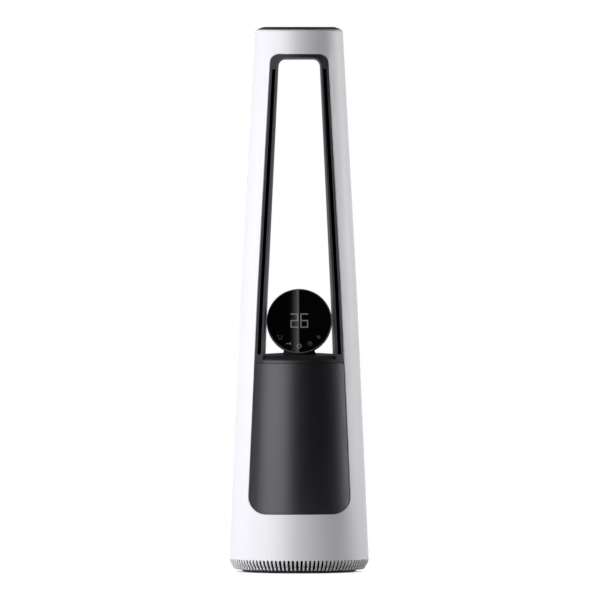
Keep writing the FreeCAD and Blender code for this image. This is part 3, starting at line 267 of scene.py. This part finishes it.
def foam(name, level):
    """Open foam: small round cells, with painted shade dark in their hollows."""
    finish = new_finish(name)
    cells = finish.node("ShaderNodeTexVoronoi", None, {"Vector": finish.place(), "Scale": 900.0})
    return finish.shell(
        # Painted shade: each cell is darker towards its hollow middle.
        Base_Color=finish.tint(cells, grey(level * 0.5), grey(level * 1.4)), Roughness=0.9,
        Normal=finish.bump(cells, strength=0.6, distance=0.3 * MM))


def filter_paper(name):
    """Felted white paper with fibres and a little grey where air has passed."""
    finish = new_finish(name)
    fibres = finish.noise(scale=900.0, detail=5.0, roughness=0.7)
    stains = finish.noise(scale=30.0)
    return finish.shell(
        Base_Color=finish.tint(0.6 * fibres + 0.4 * stains, (0.60, 0.60, 0.58), (0.82, 0.82, 0.80)),
        Roughness=0.92, Normal=finish.bump(fibres, strength=0.5, distance=0.12 * MM))


def circuit_board(name):
    """Green lacquer over a net of paler tracks."""
    finish = new_finish(name)
    tracks = finish.node("ShaderNodeTexBrick", {"offset": 0.5}, {
        "Vector": finish.place(), "Scale": 160.0, "Mortar Size": 0.06, "Color1": opaque(BLACK),
        "Color2": opaque(grey(0.3)), "Mortar": opaque(PURE_WHITE)})
    return finish.shell(
        Base_Color=finish.tint(tracks, (0.012, 0.09, 0.04), (0.03, 0.17, 0.07)), Roughness=0.35)


def lit_mark(name, level):
    """Lamp behind the glass: a pale light with a faint unevenness, under the glass's own sheen."""
    finish = new_finish(name)
    uneven = finish.noise(scale=300.0, detail=1.0)
    return finish.shell(
        Base_Color=opaque(BLACK), Roughness=GLASS_ROUGHNESS, Specular_IOR_Level=GLASS_SPECULAR,
        Emission_Color=finish.tint(uneven, grey(level * 0.9), (level, level, level * 1.02)),
        Emission_Strength=1.0)


WHITE = moulded("white_casing", (0.790, 0.782, 0.830), roughness=0.42, grain_mm=0.7, grain=0.10, cloud=0.012)
RING_WHITE = slat_finish("white_slats", (0.790, 0.782, 0.826), roughness=0.46, painted_shade_r=119.2 * MM)
COVER = moulded("satin_cover", (0.0070, 0.0068, 0.0086), roughness=0.40, grain_mm=0.5, grain=0.10, cloud=0.06,
                specular=0.56, sheen_tint=(0.93, 0.92, 1.0))
LINER = moulded("matt_liner", (0.018, 0.0175, 0.0235), roughness=0.58, grain_mm=0.6, grain=0.15, cloud=0.08,
                specular=0.3, sheen_tint=(0.90, 0.89, 1.0))
SHELF = shelf_finish("satin_shelf", satin_top=412.0 * MM, matt_low=417.0 * MM)
CAP = moulded("black_cap", grey(0.008), roughness=0.70, grain_mm=0.6, grain=0.12, cloud=0.08, specular=0.12)
HOUSING = gloss_black("display_back", level=0.008, roughness=0.22)
# The rim's dark grey is partly its own colour and partly a painted highlight along its edge.
BEZEL = gloss_black("display_rim", level=0.075, roughness=0.30)
GLASS = gloss_black("display_window", level=0.0015, roughness=GLASS_ROUGHNESS, peel_depth=0.01,
                    specular=GLASS_SPECULAR)
BASE = moulded("base_powder", grey(0.009), roughness=0.60, grain_mm=0.9, grain=0.35, cloud=0.10,
               specular=0.25)
FOOT = soft_rubber("foot_rubber", level=0.02)
STEEL = brushed("plain_steel", (0.56, 0.56, 0.57), roughness=0.34)
BRASS = brushed("plated_pins", (0.72, 0.66, 0.52), roughness=0.28)
GEAR = moulded("gear_acetal", (0.66, 0.65, 0.60), roughness=0.40, grain_mm=0.8, grain=0.10)
INNER = moulded("inner_grey", grey(0.12), roughness=0.50, grain_mm=0.8, grain=0.20, cloud=0.05)
DARK_INNER = moulded("inner_black", grey(0.006), roughness=0.62, grain_mm=0.8, grain=0.20, cloud=0.08,
                     specular=0.2)
TRAY = moulded("tray_plastic", grey(0.040), roughness=0.46, grain_mm=0.7, grain=0.18, cloud=0.06)
PART_BLACK = moulded("component_black", grey(0.018), roughness=0.48, grain_mm=0.6, grain=0.20, cloud=0.08)
JACKET = soft_rubber("lead_jacket", level=0.015)
PAPER = filter_paper("filter_paper")
FOAM = foam("seal_foam", level=0.05)
THREAD = moulded("thread_glue", (0.72, 0.71, 0.66), roughness=0.45, grain_mm=0.5, grain=0.15, cloud=0.05)
BOARD = circuit_board("board_mask")
DIGIT_LIGHT = lit_mark("digit_light", level=0.135)
ICON_LIGHT = lit_mark("icon_light", level=0.13)
FAINT_LIGHT = lit_mark("faint_icon_light", level=0.06)

NODE_FINISHES = {
    WHITE: ("front_shell", "rear_shell"),
    RING_WHITE: ("intake_ring",),
    COVER: ("front_cover",),
    LINER: ("loop_liner", "nozzle_left", "nozzle_right"),
    SHELF: ("display_shelf", "display_stand"),
    CAP: ("top_cap",),
    HOUSING: ("display_housing",),
    BEZEL: ("display_bezel",),
    GLASS: ("display_glass",),
    BASE: ("base_plate",),
    FOOT: ("rubber_feet", "motor_sleeve"),
    STEEL: ("base_screws", "collar_screws", "motor_screws", "case_screws", "fan_screws", "pivot_post",
            "pivot_collar", "drive_shaft", "motor_shaft", "impeller_nut", "strike_plate", "motor_case",
            "motor_cap", "motor_bearings", "motor_stator", "oscillation_motor"),
    BRASS: ("inlet_pins",),
    GEAR: ("sun_gear", "drive_pinion", "glide_ring", "pivot_bush"),
    INNER: ("bay_floor", "bay_posts", "fan_deck", "fan_housing", "chamber_wall", "dust_sensor", "impeller",
            "filter_core"),
    DARK_INNER: ("turntable_plate", "electronics_drum"),
    TRAY: ("filter_tray", "filter_bottom_cap", "filter_top_cap"),
    PART_BLACK: ("board_components", "power_inlet", "catch_magnet", "rotor_magnet"),
    JACKET: ("inlet_lead",),
    PAPER: ("filter_media",),
    FOAM: ("filter_seal",),
    BOARD: ("control_board", "display_board"),
}
for finish_material, nodes in NODE_FINISHES.items():
    for node_name in nodes:
        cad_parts[node_name].material_slots[0].material = finish_material


# Camera: level with the tower's middle and far off, so that the tower hardly narrows

FRAME_PX = 600
MM_PER_PX = 1.9277
SENSOR_MM = 36.0
VIEW_DISTANCE = 30.0
VIEW_TURN = math.radians(-0.2)
VIEW_RISE = math.radians(1.0)
VIEW_AIM = Vector((1.6 * MM, 0.0, 523.6 * MM))


def photo_camera():
    data = bpy.data.cameras.new("photo_camera")
    data.sensor_width = SENSOR_MM
    data.lens = SENSOR_MM * VIEW_DISTANCE / (FRAME_PX * MM_PER_PX * MM)
    data.clip_end = 2 * VIEW_DISTANCE
    camera = bpy.data.objects.new("photo_camera", data)
    bpy.context.scene.collection.objects.link(camera)
    level = math.cos(VIEW_RISE)
    back = Vector((math.sin(VIEW_TURN) * level, -math.cos(VIEW_TURN) * level, math.sin(VIEW_RISE)))
    camera.location = VIEW_AIM + back * VIEW_DISTANCE
    camera.rotation_euler = (-back).to_track_quat("-Z", "Y").to_euler()
    return camera


bpy.context.scene.camera = photo_camera()
bpy.context.scene.view_settings.view_transform = "Standard"


# Light: a broad softbox and a fill at the left, one at the right behind, one at the back, and a white wall

def softbox(name, turn_deg, height, distance, width, tall, power, aim_height):
    """An area lamp that stands round the tower's axis, turned from the front, and faces a height on it."""
    lamp = bpy.data.lights.new(name, "AREA")
    lamp.shape = "RECTANGLE"
    lamp.size = width
    lamp.size_y = tall
    lamp.energy = power
    holder = bpy.data.objects.new(name, lamp)
    bpy.context.scene.collection.objects.link(holder)
    turn = math.radians(turn_deg)
    holder.location = (math.sin(turn) * distance, -math.cos(turn) * distance, height)
    aim = Vector((0.0, 0.0, aim_height))
    holder.rotation_euler = (aim - holder.location).to_track_quat("-Z", "Y").to_euler()
    holder.visible_camera = False
    return holder


softbox("left_softbox", turn_deg=-45.0, height=0.95, distance=3.2, width=3.2, tall=2.0, power=108.0,
        aim_height=0.50)
left_fill = softbox("left_fill", turn_deg=-98.0, height=0.70, distance=3.2, width=1.8, tall=1.2, power=42.0,
                    aim_height=0.45)
left_fill.visible_glossy = False
softbox("right_softbox", turn_deg=106.5, height=0.85, distance=2.6, width=2.2, tall=1.6, power=48.0,
        aim_height=0.60)
back_softbox = softbox("back_softbox", turn_deg=180.0, height=0.85, distance=3.2, width=1.6, tall=1.4,
                       power=50.0, aim_height=0.55)
back_softbox.visible_glossy = False

WALL_LIGHT = 0.05
WALL_START = -0.1
WALL_FULL = 0.35
MIRRORED_FRONT = 0.02


def studio():
    """White all round for the camera, and for reflections a dark room with a white wall behind."""
    world = bpy.data.worlds.new("studio")
    sky = Finish(world)
    depth = sky.along("Y", sky.node("ShaderNodeTexCoord", output="Generated"))
    wall = sky.ramp(depth, WALL_START, WALL_FULL)
    seen = sky.ray("Camera") + sky.ray("Transmission")
    mirrored = sky.ray("Glossy")
    reflection = MIRRORED_FRONT + (1.0 - MIRRORED_FRONT) * wall
    strength = seen + (1.0 - seen) * (mirrored * reflection + (1.0 - mirrored) * (WALL_LIGHT * wall))
    background = sky.node("ShaderNodeBackground", None, {"Color": opaque(PURE_WHITE), "Strength": strength})
    sky.node("ShaderNodeOutputWorld", None, {"Surface": background})
    return world


bpy.context.scene.world = studio()


# Floor

FLOOR_R = 0.9
FLOOR_SIDES = 96
FLOOR_GLOW = 0.96
FLOOR_LEVEL = 0.18
CONTACT_REACH = 7.0 * MM


def pale_floor():
    """A wide white floor that keeps the tower's shadow."""
    bpy.ops.object.select_all(action="DESELECT")
    bpy.ops.mesh.primitive_circle_add(vertices=FLOOR_SIDES, radius=FLOOR_R, fill_type="NGON")
    floor = bpy.context.object
    floor.name = "floor"
    finish = new_finish("floor_white")
    shown = finish.ray("Camera").larger(finish.ray("Glossy").larger(finish.ray("Transmission")))
    inputs = {"Distance": CONTACT_REACH}
    contact = finish.node("ShaderNodeAmbientOcclusion", {"samples": 16}, inputs, output="AO")
    glow = FLOOR_GLOW * shown * contact
    lift = finish.node("ShaderNodeEmission", None, {"Color": opaque(PURE_WHITE), "Strength": glow})
    matt = finish.node("ShaderNodeBsdfDiffuse", None, {"Color": opaque(grey(FLOOR_LEVEL))})
    both = finish.node("ShaderNodeAddShader", None, {0: lift, 1: matt})
    finish.node("ShaderNodeOutputMaterial", None, {"Surface": both})
    floor.data.materials.append(finish.owner)


pale_floor()


# Modelling steps that the pieces share

def start_picking(select_mode):
    """Leaves the active piece in object mode with nothing selected."""
    bpy.ops.object.mode_set(mode="EDIT")
    bpy.ops.mesh.select_mode(type=select_mode)
    bpy.ops.mesh.select_all(action="DESELECT")
    bpy.ops.object.mode_set(mode="OBJECT")


def pick_verts(piece, rule):
    """Leaves the piece in edit mode with just the points that fit the rule selected."""
    start_picking("VERT")
    for vertex in piece.data.vertices:
        vertex.select = rule(vertex.co)
    bpy.ops.object.mode_set(mode="EDIT")


def pick_faces(piece, rule):
    """Leaves the piece in edit mode with just the faces whose middle fits the rule selected."""
    start_picking("FACE")
    for face in piece.data.polygons:
        face.select = rule(face.center)
    bpy.ops.object.mode_set(mode="EDIT")


def point_outwards():
    """Turns every face of the piece that is in edit mode outwards, and leaves edit mode."""
    bpy.ops.mesh.select_all(action="SELECT")
    bpy.ops.mesh.normals_make_consistent(inside=False)
    bpy.ops.object.mode_set(mode="OBJECT")


def joined(pieces):
    bpy.ops.object.select_all(action="DESELECT")
    for piece in pieces:
        piece.select_set(True)
    bpy.context.view_layer.objects.active = pieces[0]
    bpy.ops.object.join()
    return bpy.context.object


def dress(piece, name, finish_material, body):
    """Names a finished piece, gives it its finish and lets it ride on its body."""
    piece.name = name
    piece.data.name = name
    piece.data.materials.clear()
    piece.data.materials.append(finish_material)
    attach(piece, body)
    return piece


# Marks on the display

GLASS_TILT = math.radians(10.0)
GLASS_OUT = Vector((0.0, -math.cos(GLASS_TILT), math.sin(GLASS_TILT)))
GLASS_SINK = 0.4 * MM
RIM_DEPTH = 5.0 * MM
MARK_T = 0.12 * MM
RING_SIDES = 48


def display_place():
    """The middle of the display's front, in the plane of its rim."""
    low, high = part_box("display_bezel")
    place = (low + high) / 2 + GLASS_OUT * (RIM_DEPTH / 2)
    place.x = 0.0
    return place


DISPLAY_PLACE = display_place()


def thicken(piece):
    """Raises a flat mark to its thickness."""
    bpy.ops.object.mode_set(mode="EDIT")
    bpy.ops.mesh.select_all(action="SELECT")
    bpy.ops.mesh.extrude_region_move(TRANSFORM_OT_translate={"value": (0.0, 0.0, MARK_T)})
    point_outwards()
    return piece


def bar_mark(start, end, width):
    """A straight stroke between two points on the glass."""
    start = Vector((*start, 0.0))
    end = Vector((*end, 0.0))
    run = end - start
    bpy.ops.object.select_all(action="DESELECT")
    bpy.ops.mesh.primitive_plane_add(size=1.0)
    piece = bpy.context.object
    piece.scale = (run.length, width, 1.0)
    bpy.ops.object.transform_apply(location=False, rotation=False, scale=True)
    piece.rotation_euler = (0.0, 0.0, math.atan2(run.y, run.x))
    piece.location = (start + end) / 2
    bpy.ops.object.transform_apply(location=True, rotation=True, scale=True)
    return thicken(piece)


def ring_mark(centre, radius, width, open_at=0.0, open_by=0.0):
    """A thin ring, open over an angle where a gap is wanted."""
    def in_gap(place):
        turn = math.degrees(math.atan2(place.y, place.x)) - open_at
        return abs((turn + 180.0) % 360.0 - 180.0) < open_by / 2

    bpy.ops.object.select_all(action="DESELECT")
    bpy.ops.mesh.primitive_circle_add(vertices=RING_SIDES, radius=radius, fill_type="NGON")
    piece = bpy.context.object
    pick_faces(piece, lambda place: True)
    bpy.ops.mesh.inset(thickness=width)
    bpy.ops.mesh.delete(type="FACE")
    bpy.ops.object.mode_set(mode="OBJECT")
    if open_by > 0.0:
        pick_faces(piece, in_gap)
        bpy.ops.mesh.delete(type="FACE")
        bpy.ops.object.mode_set(mode="OBJECT")
    piece.location = (*centre, 0.0)
    bpy.ops.object.transform_apply(location=True, rotation=False, scale=False)
    return thicken(piece)


def arrow_mark(middle, turn_deg, length, width):
    """A solid arrow head."""
    bpy.ops.object.select_all(action="DESELECT")
    bpy.ops.mesh.primitive_circle_add(vertices=3, radius=1.0, fill_type="NGON")
    piece = bpy.context.object
    piece.scale = (width / math.sqrt(3), length / 1.5, 1.0)
    bpy.ops.object.transform_apply(location=False, rotation=False, scale=True)
    piece.rotation_euler = (0.0, 0.0, math.radians(turn_deg - 90.0))
    piece.location = (*middle, 0.0)
    bpy.ops.object.transform_apply(location=True, rotation=True, scale=True)
    return thicken(piece)


def on_glass(name, strokes, finish_material):
    """Joins strokes to one piece and lays it on the display's glass."""
    piece = joined(strokes)
    piece.rotation_euler = (math.radians(90.0) - GLASS_TILT, 0.0, 0.0)
    piece.location = DISPLAY_PLACE - GLASS_OUT * GLASS_SINK
    bpy.ops.object.transform_apply(location=True, rotation=True, scale=True)
    return dress(piece, name, finish_material, "tower")


DIGIT_W = 15.0 * MM
DIGIT_H = 27.8 * MM
DIGIT_RISE = 1.0 * MM
DIGIT_SHIFT = 9.5 * MM
STROKE = 2.3 * MM
COLUMNS = 3
ROWS = 5
NEAR_SHARE = 0.125
FIGURES = {
    "2": ("###", "..#", "###", "#..", "###"),
    "6": ("###", "#..", "###", "#.#", "###"),
}


def digit(figure, x):
    """One figure of square strokes around its middle: a grid whose empty cells are taken out."""
    def is_empty(place):
        row = ROWS // 2 - round(place.y / DIGIT_H * ROWS)
        column = COLUMNS // 2 + round(place.x / DIGIT_W * COLUMNS)
        return FIGURES[figure][row][column] == "."

    bpy.ops.object.select_all(action="DESELECT")
    bpy.ops.mesh.primitive_grid_add(x_subdivisions=COLUMNS, y_subdivisions=ROWS, size=1.0)
    piece = bpy.context.object
    piece.scale = (DIGIT_W, DIGIT_H, 1.0)
    bpy.ops.object.transform_apply(location=False, rotation=False, scale=True)
    pick_faces(piece, is_empty)
    bpy.ops.mesh.delete(type="FACE")
    half_w = DIGIT_W / COLUMNS / 2
    half_h = DIGIT_H / ROWS / 2
    inner_x = DIGIT_W / 2 - STROKE
    inner_y = DIGIT_H / 2 - STROKE
    for side in (-1.0, 1.0):
        line = side * half_w
        pick_verts(piece, lambda co, line=line: abs(co.x - line) < NEAR_SHARE * half_w)
        bpy.ops.transform.translate(value=(side * inner_x - line, 0.0, 0.0))
        bpy.ops.object.mode_set(mode="OBJECT")
    for count, level in ((-3, -inner_y), (-1, -STROKE / 2), (1, STROKE / 2), (3, inner_y)):
        line = count * half_h
        pick_verts(piece, lambda co, line=line: abs(co.y - line) < NEAR_SHARE * half_h)
        bpy.ops.transform.translate(value=(0.0, level - line, 0.0))
        bpy.ops.object.mode_set(mode="OBJECT")
    piece.location = (x, DIGIT_RISE, 0.0)
    bpy.ops.object.transform_apply(location=True, rotation=False, scale=False)
    return thicken(piece)


ICON_ARC_R = 48.3 * MM
ICON_STEP = 25.0
FINE = 1.0 * MM
BOLD = 1.5 * MM
SHAFT_W = 1.2 * MM
STEM_W = 1.3 * MM


def icon_place(index):
    """The middle of a symbol on the arc below the figures, counted from the lowest."""
    turn = math.radians(-90.0 + index * ICON_STEP)
    return ICON_ARC_R * math.cos(turn), ICON_ARC_R * math.sin(turn)


def offset(place, x_mm, y_mm):
    return place[0] + x_mm * MM, place[1] + y_mm * MM


def stroke(place, start_mm, end_mm, width):
    return bar_mark(offset(place, *start_mm), offset(place, *end_mm), width)


def speed_icon(place):
    """A level line with a wedge at its right end."""
    return [stroke(place, (-5.0, 0.0), (1.4, 0.0), SHAFT_W),
            arrow_mark(offset(place, 2.6, 0.0), 180.0, 5.0 * MM, 5.2 * MM)]


def power_icon(place):
    """An open ring with a stem in its gap."""
    return [ring_mark(place, 4.6 * MM, BOLD, 90.0, 70.0),
            stroke(place, (0.0, 1.6), (0.0, 5.4), STEM_W)]


def swing_icon(place):
    """Part of a ring with an arrow head at its end."""
    return [ring_mark(place, 4.4 * MM, FINE, 130.0, 150.0),
            arrow_mark(offset(place, -3.4, 2.4), 110.0, 3.4 * MM, 3.4 * MM)]


def timer_icon(place):
    """A clock face with two hands."""
    return [ring_mark(place, 4.3 * MM, FINE),
            stroke(place, (0.0, -0.6), (0.0, 2.6), FINE),
            stroke(place, (0.5, 0.0), (2.4, 0.0), FINE)]


def breeze_icon(place):
    """Three level lines."""
    return [stroke(place, (-3.6, 2.0), (2.4, 2.0), FINE),
            stroke(place, (-3.6, 0.0), (3.6, 0.0), FINE),
            stroke(place, (-2.0, -2.0), (3.6, -2.0), FINE)]


on_glass("display_digits", [digit("2", -DIGIT_SHIFT), digit("6", DIGIT_SHIFT)], DIGIT_LIGHT)
on_glass("display_icons", speed_icon(icon_place(-1)) + power_icon(icon_place(0)), ICON_LIGHT)
faint_icons = swing_icon(icon_place(-2)) + timer_icon(icon_place(1)) + breeze_icon(icon_place(2))
on_glass("display_faint_icons", faint_icons, FAINT_LIGHT)


# Strip light that the display's glass mirrors

STRIP_DISTANCE = 0.7
STRIP_W = 19.0 * MM
STRIP_TALL = 0.4
STRIP_GLOW = 7.3
STRIP_SHIFT = Vector((-0.8 * MM, 0.0, 0.0))


def strip_light():
    """A narrow card in front of the glass, brightest at one edge, seen only in reflections."""
    rise = 2 * GLASS_TILT - VIEW_RISE
    ahead = Vector((-math.sin(VIEW_TURN), -math.cos(rise), math.sin(rise)))
    bpy.ops.object.select_all(action="DESELECT")
    bpy.ops.mesh.primitive_grid_add(x_subdivisions=8, y_subdivisions=2, size=1.0)
    card = bpy.context.object
    card.name = "strip_light"
    card.scale = (STRIP_W, STRIP_TALL, 1.0)
    card.location = (STRIP_W / 2, 0.0, 0.0)
    bpy.ops.object.transform_apply(location=True, rotation=False, scale=True)
    card.location = DISPLAY_PLACE + ahead * STRIP_DISTANCE + STRIP_SHIFT
    card.rotation_euler = (-ahead).to_track_quat("Z", "Y").to_euler()
    finish = new_finish("strip_glow")
    share = 1.0 - finish.along("X", finish.place()) / STRIP_W
    glow = finish.node("ShaderNodeEmission", None, {"Strength": STRIP_GLOW * share * share})
    finish.node("ShaderNodeOutputMaterial", None, {"Surface": glow})
    card.data.materials.append(finish.owner)
    card.visible_camera = False
    card.visible_diffuse = False
    card.visible_shadow = False


strip_light()


# Filter: a thin pleated sheet with bonding threads, and a rounded foam seal

PLEATS = 60
PLEAT_POINTS = 6
PLEAT_DEPTH = 18.0 * MM
SHEET_T = 0.5 * MM
THREADS = 4
THREAD_R = 0.45 * MM
FOAM_W = 14.0 * MM
GLUE_GAP = 0.05 * MM
HOOP_STEPS = 120
THREAD_SIDES = 6
FOAM_SIDES = 16


def pleated_sheet(node_name):
    """A tube of paper folded in and out all round."""
    low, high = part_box(node_name)
    middle = (low + high) / 2
    ridge = (high.x - low.x) / 2 - SHEET_T
    valley = ridge - PLEAT_DEPTH
    count = PLEAT_POINTS * PLEATS
    bpy.ops.object.select_all(action="DESELECT")
    bpy.ops.mesh.primitive_cylinder_add(
        vertices=count, radius=ridge, depth=high.z - low.z, end_fill_type="NOTHING", location=middle)
    bpy.ops.object.transform_apply(location=True, rotation=False, scale=False)
    sheet = bpy.context.object

    def fold_step(co):
        turn = math.atan2(co.y - middle.y, co.x - middle.x)
        return round(turn * count / (2 * math.pi)) % PLEAT_POINTS

    for steps, radius in (((2, 5), (ridge + valley) / 2), ((3, 4), valley)):
        pick_verts(sheet, lambda co, steps=steps: fold_step(co) in steps)
        share = radius / ridge
        bpy.ops.transform.resize(value=(share, share, 1.0), center_override=middle)
        bpy.ops.object.mode_set(mode="OBJECT")
    wall = sheet.modifiers.new("wall", "SOLIDIFY")
    wall.thickness = SHEET_T
    wall.offset = 0.0
    bpy.ops.object.modifier_apply(modifier=wall.name)
    bpy.ops.object.shade_smooth_by_angle(angle=math.radians(25.0))
    return dress(sheet, "filter_pleats", PAPER, "drawer")


def bonding_threads(node_name):
    """Threads of glue round the pleats, which keep them apart."""
    low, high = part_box(node_name)
    middle = (low + high) / 2
    pitch = (high.z - low.z) / (THREADS + 1)
    threads = []
    for index in range(THREADS):
        bpy.ops.object.select_all(action="DESELECT")
        bpy.ops.mesh.primitive_torus_add(
            major_segments=HOOP_STEPS, minor_segments=THREAD_SIDES, minor_radius=THREAD_R,
            major_radius=(high.x - low.x) / 2 - THREAD_R,
            location=(middle.x, middle.y, low.z + pitch * (index + 1)))
        bpy.ops.object.transform_apply(location=True, rotation=False, scale=False)
        bpy.ops.object.shade_smooth()
        threads.append(bpy.context.object)
    return dress(joined(threads), "filter_threads", THREAD, "drawer")


def foam_ring(node_name):
    """A strip of foam laid in a ring, rounded on top and flat where it is stuck down."""
    low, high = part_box(node_name)
    middle = (low + high) / 2
    bpy.ops.object.select_all(action="DESELECT")
    bpy.ops.mesh.primitive_torus_add(
        major_segments=HOOP_STEPS, minor_segments=FOAM_SIDES, minor_radius=FOAM_W / 2,
        major_radius=(high.x - low.x - FOAM_W) / 2, location=(middle.x, middle.y, low.z))
    ring = bpy.context.object
    ring.scale = (1.0, 1.0, 2 * (high.z - low.z) / FOAM_W)
    bpy.ops.object.transform_apply(location=True, rotation=False, scale=True)
    bpy.ops.object.mode_set(mode="EDIT")
    bpy.ops.mesh.select_all(action="SELECT")
    bpy.ops.mesh.bisect(
        plane_co=(0.0, 0.0, low.z + GLUE_GAP), plane_no=(0.0, 0.0, 1.0), use_fill=False, clear_inner=True)
    bpy.ops.mesh.bridge_edge_loops()
    point_outwards()
    bpy.ops.object.shade_smooth_by_angle(angle=math.radians(40.0))
    return dress(ring, "filter_foam_ring", FOAM, "drawer")


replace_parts(pleated_sheet("filter_media"), "filter_media")
bonding_threads("filter_media")
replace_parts(foam_ring("filter_seal"), "filter_seal")
